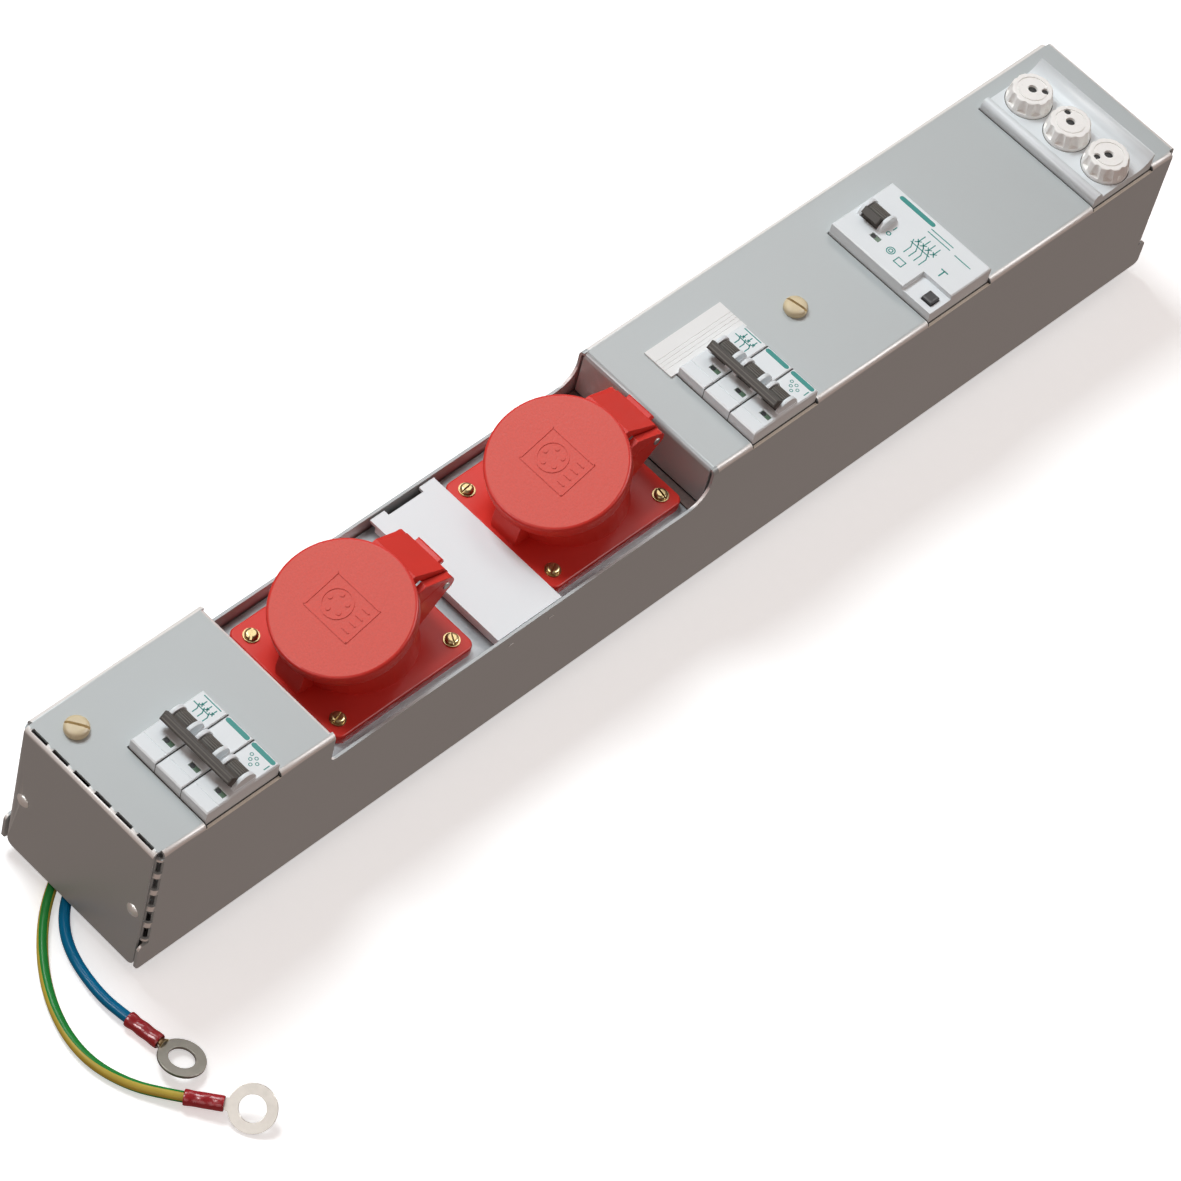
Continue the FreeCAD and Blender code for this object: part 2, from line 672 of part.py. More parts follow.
def toggle(x, z, middle, width, reach, lean):
    """Barrel with a paddle, leaning towards the left end."""
    barrel = rod(BARREL_R, Vector(x, middle - width / 2, z), Vector(x, middle + width / 2, z))
    paddle = block(x - PADDLE / 2, x + PADDLE / 2, middle - width / 2, middle + width / 2, z, z + reach)
    lever = fuse(barrel, paddle)
    lever.rotate(Vector(x, middle, z), ACROSS, -lean)
    return lever


def toggle_cheeks(x, z, middle, width):
    """Round cheeks at both ends of a toggle's barrel."""
    cheeks = []
    for side in (-1, 1):
        inside = middle + side * (width / 2 + BARREL_GAP)
        cheeks.append(rod(CHEEK_R, Vector(x, inside, z), Vector(x, inside + side * CHEEK, z)))
    return cheeks


def breaker_pole(centre, near):
    """One breaker pole with its toggle pocket, cheeks, indicator pocket and label groove."""
    face = TOP + BREAKER_PROUD
    far = near + MODULE - MODULE_GAP
    middle = near + MODULE / 2
    x, z = toggle_axis(centre + TOGGLE_OFFSET, face)
    body = modular_body(centre, near, far, face, SHOULDER)
    groove_x = centre + LABEL_GROOVE_OFFSET
    groove = block(groove_x - LABEL_GROOVE / 2, groove_x + LABEL_GROOVE / 2, near - OVER, far + OVER,
                   face - LABEL_GROOVE, face + OVER)
    body = fuse(body, *toggle_cheeks(x, z, middle, TOGGLE_WIDTH))
    return cut(body, toggle_pocket(x, z, middle, TOGGLE_WIDTH), groove,
               window(centre + WINDOW_OFFSET, middle + WINDOW_SIDE, face, 0))


def window(x, y, face, gap):
    """Indicator window, or with no gap the pocket that it sits in."""
    half_x = WINDOW_WIDTH / 2 - gap
    half_y = WINDOW_LENGTH / 2 - gap
    top = face - WINDOW_SUNK if gap else face + OVER
    return block(x - half_x, x + half_x, y - half_y, y + half_y, face - WINDOW_DEPTH, top)


def breaker(number, centre):
    """Three-pole breaker: poles side by side, toggles joined by a tie bar."""
    face = TOP + BREAKER_PROUD
    x, z = toggle_axis(centre + TOGGLE_OFFSET, face)
    toggles = []
    windows = []
    for pole in range(BREAKER_POLES):
        near = DEVICE_NEAR + pole * MODULE
        middle = near + MODULE / 2
        save("breaker_%d_pole_%d" % (number, pole + 1), breaker_pole(centre, near))
        toggles.append(toggle(x, z, middle, TOGGLE_WIDTH, PADDLE_REACH, TOGGLE_LEAN))
        windows.append(window(centre + WINDOW_OFFSET, middle + WINDOW_SIDE, face, WINDOW_GAP))
    bar_near = DEVICE_NEAR + TIE_BAR_END
    bar_far = DEVICE_NEAR + BREAKER_WIDTH - TIE_BAR_END
    bar_top = z + PADDLE_REACH + TIE_BAR_DEPTH
    bar = block(x - TIE_BAR / 2, x + TIE_BAR / 2, bar_near, bar_far, z + PADDLE_REACH, bar_top)
    bar = bar.makeChamfer(NOSE_CHAMFER, rim_edges(bar, bar_top))
    bar.rotate(Vector(x, 0, z), ACROSS, -TOGGLE_LEAN)
    save("breaker_%d_toggles" % number, *toggles)
    save("breaker_%d_windows" % number, *windows)
    save("breaker_%d_tie_bar" % number, bar)


def test_button_place():
    """Middle of the residual-current switch's test button."""
    return SWITCH_CENTRE - NOSE / 2 + TEST_BUTTON_X, DEVICE_NEAR + TEST_BUTTON_Y


def residual_switch():
    """Four-module residual-current switch with one toggle, a window and a test button."""
    face = TOP + SWITCH_PROUD
    near = DEVICE_NEAR
    left = SWITCH_CENTRE - NOSE / 2
    x, z = toggle_axis(SWITCH_CENTRE + SWITCH_TOGGLE_OFFSET, face)
    body = modular_body(SWITCH_CENTRE, near, near + SWITCH_WIDTH - MODULE_GAP, face, SHOULDER)
    step = block(left - OVER, left + CORNER_STEP_X, near - OVER, near + CORNER_STEP_Y,
                 face - CORNER_STEP, face + OVER)
    body = fuse(body, *toggle_cheeks(x, z, SWITCH_TOGGLE_Y, SWITCH_TOGGLE_WIDTH))
    button_x, button_y = test_button_place()
    half = TEST_BUTTON / 2 + TEST_BUTTON_GAP
    well = block(button_x - half, button_x + half, button_y - half, button_y + half,
                 face - CORNER_STEP - TEST_BUTTON_SUNK - TEST_BUTTON_TRAVEL - TEST_BUTTON_GAP, face)
    window_x = SWITCH_CENTRE + SWITCH_WINDOW_OFFSET
    pocket = toggle_pocket(x, z, SWITCH_TOGGLE_Y, SWITCH_TOGGLE_WIDTH)
    lever = toggle(x, z, SWITCH_TOGGLE_Y, SWITCH_TOGGLE_WIDTH, SWITCH_PADDLE_REACH, SWITCH_LEAN)
    save("switch_housing", cut(body, step, well, pocket, window(window_x, SWITCH_WINDOW_Y, face, 0)))
    save("switch_window", window(window_x, SWITCH_WINDOW_Y, face, WINDOW_GAP))
    save("switch_toggle", lever)
    half = TEST_BUTTON / 2
    high = face - CORNER_STEP + TEST_BUTTON_PROUD
    button = block(button_x - half, button_x + half, button_y - half, button_y + half,
                   face - CORNER_STEP - TEST_BUTTON_SUNK, high)
    save("switch_test_button", button.makeChamfer(NOSE_CHAMFER, rim_edges(button, high)))


def module_blank():
    """Blank strip over the unused module beside the second breaker: scored to be cut, with two clip legs."""
    centre = BREAKER_CENTRES[1]
    near = DEVICE_NEAR + BREAKER_WIDTH
    far = DEVICE_NEAR + SWITCH_WIDTH + DEVICE_CLEARANCE + OVER
    left = centre - NOSE / 2
    right = centre + NOSE / 2
    strip = block(left - BLANK_OVERLAP, right + BLANK_OVERLAP, near, far, TOP, TOP + BLANK_SHEET)
    leg_near = (near + far - BLANK_LEG_LENGTH) / 2
    leg_far = (near + far + BLANK_LEG_LENGTH) / 2
    legs = []
    for start in (left, right - BLANK_LEG):
        leg_low = TOP - BLANK_LEG_DROP
        legs.append(block(start, start + BLANK_LEG, leg_near, leg_far, leg_low, TOP + BLANK_SHEET / 2))
    scores = []
    for index in range(BLANK_SCORES):
        score_y = near + BLANK_SCORE_START + index * BLANK_SCORE_PITCH
        scores.append(block(left - 2 * BLANK_OVERLAP, right + 2 * BLANK_OVERLAP, score_y,
                            score_y + BLANK_SCORE, TOP + BLANK_SHEET - BLANK_SCORE, TOP + BLANK_SHEET + OVER))
    return cut(fuse(strip, *legs), *scores)


def fuse_places():
    """Y of each fuse's axis."""
    middle = DEVICE_NEAR + FUSE_WIDTH / 2
    return [middle + (pole - (FUSE_POLES - 1) / 2) * FUSE_PITCH for pole in range(FUSE_POLES)]


def fuse_base():
    """Three-pole base with a stepped well for each fuse."""
    near = DEVICE_NEAR
    far = near + FUSE_WIDTH
    top = TOP - FUSE_COVER_BASE
    half = FUSE_SHOULDER / 2
    bite = RAIL_WIDTH / 2 + DEVICE_CLEARANCE
    low = RAIL_TOP - RAIL_BITE
    right = ((bite, RAIL_TOP), (bite, low), (half, low), (half, top - FUSE_COVER_BASE), (NOSE / 2, top))
    body = prism(symmetric(right, FUSE_CENTRE), near, far)
    neck_low = CAP_BASE - NECK_LENGTH - LINK_GAP
    link_low = CAP_BASE - NECK_LENGTH / 2 - LINK_LENGTH
    wells = []
    for y in fuse_places():
        axis = Vector(FUSE_CENTRE, y, 0)
        wells.append(rod(NECK_R + LINK_GAP, axis + UP * neck_low, axis + UP * (top + OVER)))
        wells.append(rod(LINK_R + LINK_GAP, axis + UP * (link_low - LINK_GAP), axis + UP * top))
    return cut(body, *wells)


def fuse_cover():
    """Cover with a rounded ridge on one side, a hollowed wall on the other and a hole per cap."""
    near = DEVICE_NEAR
    far = near + FUSE_WIDTH
    low = TOP - FUSE_COVER_BASE
    left = FUSE_CENTRE - NOSE / 2
    right = FUSE_CENTRE + NOSE / 2
    plate = block(left, right, near, far, low, FUSE_FACE_Z)
    ridge_x = left + FUSE_RIDGE_R
    ridge = rod(FUSE_RIDGE_R, Vector(ridge_x, near, FUSE_FACE_Z), Vector(ridge_x, far, FUSE_FACE_Z))
    wall = block(right - FUSE_WALL, right, near, far, FUSE_FACE_Z - OVER, FUSE_FACE_Z + FUSE_WALL_HEIGHT)
    hollow_r = (FUSE_WALL ** 2 + FUSE_WALL_HEIGHT ** 2) / (2 * FUSE_WALL_HEIGHT)
    hollow_x = right - FUSE_WALL
    hollow = rod(hollow_r, Vector(hollow_x, near - OVER, FUSE_FACE_Z + hollow_r),
                 Vector(hollow_x, far + OVER, FUSE_FACE_Z + hollow_r))
    lip = wall.makeFillet(OVER, edges_at(wall, ACROSS, x=right, z=FUSE_FACE_Z + FUSE_WALL_HEIGHT))
    body = fuse(plate, ridge, lip.cut(hollow))
    holes = [rod(CAP_R + CAP_GAP, Vector(FUSE_CENTRE, y, low - OVER),
                 Vector(FUSE_CENTRE, y, FUSE_FACE_Z + FUSE_WALL_HEIGHT + OVER)) for y in fuse_places()]
    return cut(body, *holes)


def fuse_cap(y, turn):
    """Fluted screw cap with a threaded neck, a sight hole and a probe hole, turned about its axis."""
    base = Vector(FUSE_CENTRE, y, CAP_BASE)
    top = base + UP * CAP_HEIGHT
    skirt = rod(CAP_R, base, base + UP * CAP_SKIRT)
    crown = Part.makeCone(CAP_R, CAP_R - CAP_TAPER, CAP_HEIGHT - CAP_SKIRT, base + UP * CAP_SKIRT, UP)
    crown = crown.makeFillet(OVER, rim_edges(crown, top.z))
    flutes = []
    for index in range(CAP_FLUTES):
        angle = 2 * math.pi * index / CAP_FLUTES
        side = Vector(math.cos(angle), math.sin(angle), 0) * (CAP_R + CAP_FLUTE_OUT)
        flutes.append(rod(CAP_FLUTE_R, base + side + UP * CAP_SKIRT, top + side + UP))
    neck = rod(NECK_R, base - UP * NECK_LENGTH, base)
    ring = rod(CAP_RING_R + CAP_RING, top - UP * CAP_RING, top + UP).cut(
        rod(CAP_RING_R, top - UP * CAP_RING, top + UP))
    probe = top + Vector(CAP_PROBE_AT, 0, 0)
    bore = rod(LINK_R + LINK_GAP, base - UP * (NECK_LENGTH + OVER), base - UP * (NECK_LENGTH / 2 - LINK_GAP))
    body = fuse(skirt, crown, neck)
    cap = cut(body, ring, bore, rod(CAP_SIGHT_R, base - UP * NECK_LENGTH, top + UP),
              rod(CAP_PROBE_R, probe - UP * CAP_PROBE_DEPTH, probe + UP), *flutes)
    cap.rotate(base, UP, turn)
    return cap


def fuse_link(y):
    """Fuse cartridge held by its cap."""
    high = Vector(FUSE_CENTRE, y, CAP_BASE - NECK_LENGTH / 2)
    return rod(LINK_R, high - UP * LINK_LENGTH, high)


def tilted(shape):
    """Turn a shape from the plug's axis frame into the flange's frame."""
    shape.rotate(Vector(0, 0, 0), ACROSS, -SOCKET_TILT)
    return shape


def hinge_place():
    """The lid hinge's axis in the flange's frame."""
    sine = math.sin(math.radians(SOCKET_TILT))
    cosine = math.cos(math.radians(SOCKET_TILT))
    w = LID_TOP - HINGE_DROP
    return Vector(HINGE_U * cosine - w * sine, 0, HINGE_U * sine + w * cosine)


def fixing_places():
    """The flange's four screw places."""
    return [Vector(x, y, 0) for x in (-FIXING_LENGTH / 2, FIXING_LENGTH / 2)
            for y in (-FIXING_WIDTH / 2, FIXING_WIDTH / 2)]


def hinge_ears():
    """Two brackets on the collar that carry the hinge pin, in the plug's frame."""
    w = LID_TOP - HINGE_DROP
    root = CAVITY_R - EAR_R
    points = ((root, w + EAR_R), (HINGE_U, w + EAR_R), (HINGE_U, w - EAR_R), (root, w - EAR_ROOT))
    ears = []
    inside = ARM_WIDTH / 2 + EAR_GAP
    for near in (-inside - EAR, inside):
        web = prism(points, near, near + EAR)
        boss = rod(EAR_R, Vector(HINGE_U, near, w), Vector(HINGE_U, near + EAR, w))
        ears.append(tilted(fuse(web, boss)))
    return ears


def keyway_buttress():
    """Sloping buttress on the low side of the collar, over the keyway, in the plug's frame."""
    high = LID_TOP - LID_DEPTH - OVER
    root = -CAVITY_R
    outside = -COLLAR_R - BUTTRESS_OUT
    points = ((root, CAVITY_FLOOR * 2), (outside, CAVITY_FLOOR * 2), (outside, high - BUTTRESS_SLOPE),
              (-COLLAR_R - OVER, high), (root, high))
    half = BUTTRESS_WIDTH / 2
    body = prism(points, -half, half)
    return body.makeFillet(BUTTRESS_R, edges_at(body, UP, x=outside))


def socket_body():
    """Flange, inclined collar, rear shell, keyway buttress and hinge brackets in one moulding."""
    flange = block(-FLANGE_LENGTH / 2, FLANGE_LENGTH / 2, -FLANGE_WIDTH / 2, FLANGE_WIDTH / 2, -FLANGE, 0)
    flange = flange.makeFillet(FLANGE_CORNER_R, edges_at(flange, UP))
    flange = flange.makeFillet(FLANGE_EDGE_R, rim_edges(flange, 0))
    above = block(-FLANGE_LENGTH, FLANGE_LENGTH, -FLANGE_WIDTH, FLANGE_WIDTH, -FLANGE / 2, LID_TOP * 2)
    collar = tilted(rod(COLLAR_R, UP * CAVITY_FLOOR * 2, UP * COLLAR_RIM)).common(above)
    buttress = tilted(keyway_buttress()).common(above)
    rear = rod(REAR_R, Vector(REAR_OFFSET, 0, -REAR_DEPTH), Vector(REAR_OFFSET, 0, -FLANGE / 2))
    pin = hinge_place()
    cavity = tilted(rod(CAVITY_R, UP * CAVITY_FLOOR, UP * LID_TOP))
    keyway = tilted(rod(KEYWAY_R, Vector(-CAVITY_R, 0, INSERT_TOP), Vector(-CAVITY_R, 0, LID_TOP)))
    pin_hole = rod(PIN_R + FASTENER_GAP, pin - ACROSS * FLANGE_WIDTH, pin + ACROSS * FLANGE_WIDTH)
    holes = [rod(FIXING_R + FASTENER_GAP, place - UP * FLANGE * 2, place + UP) for place in fixing_places()]
    return cut(fuse(flange, collar, buttress, rear, *hinge_ears()), cavity, keyway, pin_hole, *holes)


def contact_places():
    """Contact axes in the plug's frame, with the earth contact towards the keyway."""
    places = []
    for index in range(CONTACTS):
        angle = math.pi + 2 * math.pi * index / CONTACTS
        places.append(Vector(math.cos(angle), math.sin(angle), 0) * (CONTACT_PCD / 2))
    return places


def socket_insert():
    """Contact carrier inside the collar."""
    plug = rod(INSERT_R, UP * CAVITY_FLOOR, UP * INSERT_TOP)
    plug = plug.makeChamfer(OVER, rim_edges(plug, INSERT_TOP))
    rim = rod(CAVITY_R - INSERT_GAP, UP * CAVITY_FLOOR, UP * (CAVITY_FLOOR + INSERT_RIM))
    low = INSERT_TOP - CONTACT_SUNK - CONTACT_LENGTH
    holes = []
    for place in contact_places():
        start = place + UP * low
        holes.append(rod(CONTACT_R + CONTACT_GAP, start, place + UP * (INSERT_TOP - CONTACT_SUNK / 2)))
        holes.append(rod(CONTACT_BORE_R + CONTACT_GAP, start, place + UP * (INSERT_TOP + OVER)))
    return tilted(cut(fuse(plug, rim), *holes))


def socket_contacts():
    """Brass contact sleeves."""
    low = INSERT_TOP - CONTACT_SUNK - CONTACT_LENGTH
    sleeves = []
    for place in contact_places():
        start = place + UP * low
        end = place + UP * (INSERT_TOP - CONTACT_SUNK)
        bore = rod(CONTACT_BORE_R, start + UP * OVER, end + UP)
        sleeves.append(tilted(rod(CONTACT_R, start, end).cut(bore)))
    return sleeves


def socket_lid():
    """Spring lid: a shallow cap, its sloping arm, two knuckles and a thumb tab."""
    cap = rod(LID_R, UP * (LID_TOP - LID_DEPTH), UP * LID_TOP)
    cap = cap.makeFillet(LID_EDGE_R, rim_edges(cap, LID_TOP))
    axis_w = LID_TOP - HINGE_DROP
    knuckle = KNUCKLE_R
    root = LID_R - 2 * LID_PLATE
    arm_top = LID_TOP - LID_EDGE_R / 2
    arm_low = LID_TOP - LID_DEPTH
    arm_points = ((root, arm_top), (LID_R - OVER, arm_top), (HINGE_U + ARM_SLOPE, axis_w + knuckle),
                  (HINGE_U + knuckle, axis_w), (HINGE_U, axis_w - knuckle / 2), (HINGE_U - knuckle, axis_w),
                  (LID_R + OVER / 2, arm_low), (root, arm_low))
    half = ARM_WIDTH / 2
    arm = prism(arm_points, -half, half)
    barrel = rod(knuckle, Vector(HINGE_U, -half, axis_w), Vector(HINGE_U, half, axis_w))
    tab_low = axis_w + OVER
    tab_top = tab_low + THUMB_SHEET
    tab = block(HINGE_U, HINGE_U + THUMB_REACH, -THUMB_TAB / 2, THUMB_TAB / 2, tab_low, tab_top)
    tab = tab.makeChamfer(NOSE_CHAMFER, rim_edges(tab, tab_top))
    body = fuse(cap, arm, barrel, tab)
    inside = rod(LID_INNER_R, UP * (LID_TOP - 2 * LID_DEPTH), UP * (LID_TOP - LID_PLATE))
    bore = rod(PIN_R + PIN_GAP, Vector(HINGE_U, -LID_R, axis_w), Vector(HINGE_U, LID_R, axis_w))
    space = SPRING_GAP / 2
    middle = rod(knuckle + EAR_GAP, Vector(HINGE_U, -space, axis_w), Vector(HINGE_U, space, axis_w))
    return tilted(cut(body, inside, bore, middle))


def socket_gasket():
    """Flat seal under the lid, over the collar's rim."""
    high = UP * (LID_TOP - LID_PLATE)
    low = high - UP * GASKET
    return tilted(rod(COLLAR_R, low, high).cut(rod(CAVITY_R - OVER, low, high)))


def socket_pin():
    """Hinge pin through both ears."""
    pin = hinge_place()
    reach = ACROSS * (ARM_WIDTH / 2 + EAR_GAP + EAR + PIN_PROUD)
    return rod(PIN_R, pin - reach, pin + reach)


def socket_spring():
    """Closing spring, wound on the pin between the lid's knuckles."""
    pin = hinge_place()
    mean_r = PIN_R + SPRING_WIRE / 2 + FOLD_GAP
    height = SPRING_GAP - 3 * SPRING_WIRE
    helix = Part.makeHelix(height / SPRING_TURNS, height, mean_r)
    section = Part.Wire(Part.makeCircle(SPRING_WIRE / 2, Vector(mean_r, 0, 0), ACROSS))
    coil = Part.Wire(helix.Edges).makePipeShell([section], True, True)
    coil.translate(Vector(0, 0, -height / 2))
    coil.rotate(Vector(0, 0, 0), Vector(1, 0, 0), 90)
    coil.translate(pin)
    return coil


def socket_screws():
    """Brass screws that hold the flange to its carrier."""
    return [slotted_screw(place, FIXING_HEAD_R, FIXING_HEAD, FIXING_R, FLANGE + FIXING_LENGTH_BELOW,
                          OVER, OVER, OVER) for place in fixing_places()]


def socket(number, centre):
    """One complete inclined socket on the carrier."""
    place = Vector(centre, MIDDLE, FLANGE_TOP)
    pieces = {
        "body": [socket_body()],
        "insert": [socket_insert()],
        "contacts": socket_contacts(),
        "lid": [socket_lid()],
        "gasket": [socket_gasket()],
        "pin": [socket_pin()],
        "spring": [socket_spring()],
        "screws": socket_screws(),
    }
    for name, solids in pieces.items():
        for solid in solids:
            solid.translate(place)
        save("socket_%d_%s" % (number, name), *solids)


def socket_carrier():
    """Bridge plate under the sockets, with a leg and a foot at each end."""
    low = CARRIER_TOP - CARRIER_SHEET
    side = SHEET + CARRIER_SIDE_GAP
    plate = block(CARRIER_START, CARRIER_END, side, WIDTH - side, low, CARRIER_TOP)
    pieces = [plate]
    near = CARRIER_LEG_NEAR
    far = CARRIER_LEG_FAR
    left = CARRIER_START + CARRIER_LEG_INSET
    right = CARRIER_END - CARRIER_LEG_INSET
    for leg, foot in ((left, left), (right - CARRIER_SHEET, right - CARRIER_FOOT)):
        pieces.append(block(leg, leg + CARRIER_SHEET, near, far, TRAY_SHEET, low + OVER))
        pieces.append(block(foot, foot + CARRIER_FOOT, near, far, TRAY_SHEET, TRAY_SHEET + CARRIER_SHEET))
    tools = []
    for centre in SOCKET_CENTRES:
        hole = Vector(centre + REAR_OFFSET, MIDDLE, low - OVER)
        tools.append(rod(REAR_R + CARRIER_HOLE_GAP, hole, hole + UP * (CARRIER_SHEET + 2 * OVER)))
        for place in fixing_places():
            screw = Vector(centre + place.x, MIDDLE + place.y, low - OVER)
            tools.append(rod(FIXING_R + FASTENER_GAP, screw, screw + UP * (CARRIER_SHEET + 2 * OVER)))
    return cut(fuse(*pieces), *tools)


def blank_plate():
    """White plate between the sockets: notched at the back, standing on two legs."""
    high = TOP - BLANK_PLATE_DROP
    near = SHEET + BLANK_PLATE_SIDE_GAP
    far = WIDTH - near
    plate = block(BLANK_PLATE_START, BLANK_PLATE_END, near, far, high - BLANK_PLATE, high)
    notch = block(BLANK_PLATE_START + BLANK_TAB_LEFT, BLANK_PLATE_END - BLANK_TAB_RIGHT,
                  far - BLANK_NOTCH, far + OVER, CARRIER_TOP, high + OVER)
    legs = []
    for start in (BLANK_PLATE_START + BLANK_PLATE_LEG_INSET,
                  BLANK_PLATE_END - BLANK_PLATE_LEG_INSET - BLANK_PLATE_LEG):
        legs.append(block(start, start + BLANK_PLATE_LEG, near, far - BLANK_NOTCH, CARRIER_TOP, high - OVER))
    return fuse(plate.cut(notch), *legs)


def terminal(route):
    """Screw terminal that the inner end of a wire goes into."""
    start = Vector(*route[0])
    far_end = TERMINAL_X + TERMINAL_LENGTH
    body = block(TERMINAL_X, far_end, start.y - TERMINAL_WIDTH / 2, start.y + TERMINAL_WIDTH / 2,
                 TRAY_SHEET, TRAY_SHEET + TERMINAL_HEIGHT)
    screw = Vector(TERMINAL_X + TERMINAL_LENGTH / 2, start.y, TRAY_SHEET + TERMINAL_HEIGHT)
    return cut(body, rod(TERMINAL_SCREW_R, screw - UP * TERMINAL_HEIGHT / 2, screw + UP))


def route_end(route):
    """Far end of a wire inside its sleeve, and the direction there."""
    last = Vector(*route[-1])
    direction = (last - Vector(*route[-2])).normalize()
    return last, direction


def wire_path(route):
    """Straight runs joined by tangent arcs, ending inside the lug's sleeve."""
    last, direction = route_end(route)
    points = [Vector(*point) for point in route[:-1]] + [last + direction * WIRE_IN_SLEEVE]
    edges = []
    at = points[0]
    for before, corner, after in zip(points, points[1:], points[2:]):
        back = before - corner
        ahead = after - corner
        turn = math.pi - back.getAngle(ahead)
        inset = ROUTE_ARC * min(back.Length, ahead.Length)
        radius = inset / math.tan(turn / 2)
        start = corner + back.normalize() * inset
        end = corner + ahead.normalize() * inset
        bisector = (back + ahead).normalize()
        middle = corner + bisector * (radius / math.cos(turn / 2) - radius)
        edges.append(Part.LineSegment(at, start).toShape())
        edges.append(Part.Arc(start, middle, end).toShape())
        at = end
    edges.append(Part.LineSegment(at, points[-1]).toShape())
    return Part.Wire(edges)


def wire(route):
    """Insulated wire swept along its route."""
    path = wire_path(route)
    first = Vector(*route[0])
    heading = Vector(*route[1]) - first
    section = Part.Wire(Part.makeCircle(WIRE_R, first, heading))
    return path.makePipeShell([section], True, True)


def lug_frame(shape, route, twist):
    """Carry a lug piece, drawn along +X from the sleeve's mouth, to the end of its wire."""
    last, direction = route_end(route)
    shape.rotate(Vector(0, 0, 0), Vector(1, 0, 0), twist)
    shape.Placement = FreeCAD.Placement(last, FreeCAD.Rotation(
        direction, UP.cross(direction), UP, "XZY")).multiply(shape.Placement)
    return shape


def lug_sleeve(route, twist):
    """Insulating sleeve crimped over the lug's barrel and the wire's end."""
    start = Vector(0, 0, 0)
    end = Vector(SLEEVE_LENGTH, 0, 0)
    sleeve = rod(SLEEVE_R, start, end)
    sleeve = sleeve.makeFillet(SLEEVE_WALL / 2, [edge for edge in sleeve.Edges if edge.Closed])
    return lug_frame(sleeve.cut(rod(SLEEVE_R - SLEEVE_WALL, start, end)), route, twist)


def ring_lug(route, twist):
    """Tinned ring lug: barrel, flattened neck and ring."""
    start = Vector(WIRE_IN_SLEEVE, 0, 0)
    barrel = rod(BARREL_LUG_R, start, start + Vector(BARREL_LUG_LENGTH, 0, 0))
    half = LUG_SHEET / 2
    centre = Vector(LUG_RING_AT, 0, 0)
    ring = rod(LUG_RING_R, centre - UP * half, centre + UP * half)
    mouth = WIRE_IN_SLEEVE + BARREL_LUG_LENGTH - OVER
    corners = [Vector(mouth, -BARREL_LUG_R + OVER, -half), Vector(LUG_RING_AT, -LUG_NECK, -half),
               Vector(LUG_RING_AT, LUG_NECK, -half), Vector(mouth, BARREL_LUG_R - OVER, -half)]
    neck = Part.Face(Part.makePolygon(corners + corners[:1])).extrude(UP * LUG_SHEET)
    hole = rod(LUG_HOLE_R, centre - UP * LUG_SHEET, centre + UP * LUG_SHEET)
    return lug_frame(cut(fuse(barrel, ring, neck), hole), route, twist)


def main():
    os.makedirs("parts", exist_ok=True)
    save("hood", hood())
    save("end_rivets", *end_rivets())
    save("base_tray", base_tray())
    save("cover_pillars", *cover_pillars())
    save("cover_screws", *cover_screws())
    save("din_rails", *din_rails())
    save("rail_stands", *rail_stands())
    for index, centre in enumerate(BREAKER_CENTRES):
        breaker(index + 1, centre)
    residual_switch()
    save("module_blank", module_blank())
    save("fuse_base", fuse_base())
    save("fuse_cover", fuse_cover())
    for index, (y, turn) in enumerate(zip(fuse_places(), CAP_TURNS)):
        save("fuse_cap_%d" % (index + 1), fuse_cap(y, turn))
        save("fuse_link_%d" % (index + 1), fuse_link(y))
    save("socket_carrier", socket_carrier())
    save("blank_plate", blank_plate())
    for index, centre in enumerate(SOCKET_CENTRES):
        socket(index + 1, centre)
    supply = (("earth", EARTH_ROUTE, EARTH_TWIST), ("neutral", NEUTRAL_ROUTE, NEUTRAL_TWIST))
    for name, route, twist in supply:
        save("%s_terminal" % name, terminal(route))
        save("%s_wire" % name, wire(route))
        save("%s_sleeve" % name, lug_sleeve(route, twist))
        save("%s_lug" % name, ring_lug(route, twist))


main()
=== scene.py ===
import json
import math

import bmesh
import bpy
from mathutils import Matrix, Quaternion, Vector


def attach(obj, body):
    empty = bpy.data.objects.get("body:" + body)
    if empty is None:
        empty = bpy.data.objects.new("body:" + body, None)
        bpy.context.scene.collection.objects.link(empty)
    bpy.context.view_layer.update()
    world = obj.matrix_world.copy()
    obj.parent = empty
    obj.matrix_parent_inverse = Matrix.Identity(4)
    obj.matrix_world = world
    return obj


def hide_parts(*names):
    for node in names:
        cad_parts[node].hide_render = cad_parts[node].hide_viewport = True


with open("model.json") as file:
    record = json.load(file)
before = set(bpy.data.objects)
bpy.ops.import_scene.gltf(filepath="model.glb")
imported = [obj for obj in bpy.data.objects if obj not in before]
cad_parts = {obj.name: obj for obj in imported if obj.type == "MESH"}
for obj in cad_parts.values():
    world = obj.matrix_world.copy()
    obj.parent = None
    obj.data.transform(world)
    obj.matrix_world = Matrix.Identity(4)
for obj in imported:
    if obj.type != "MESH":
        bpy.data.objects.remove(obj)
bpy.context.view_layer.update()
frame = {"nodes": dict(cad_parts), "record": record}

# Looks of the industrial power strip, in metres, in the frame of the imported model.
MM = 0.001
NODES = frame["nodes"]
SCENE = bpy.context.scene
UP = Vector((0, 0, 1))
ORIGIN = (0, 0)
STRIP = "strip"

# Camera at the photograph's viewpoint
CAMERA_TARGET = Vector((-0.0695, -0.0471, 0.0684))
CAMERA_DISTANCE = 2.703
CAMERA_AZIMUTH = math.radians(-57.391)
CAMERA_ELEVATION = math.radians(52.315)
CAMERA_ROLL = math.radians(16.082)
CAMERA_LENS = 172.13
CAMERA_SENSOR = 36.0

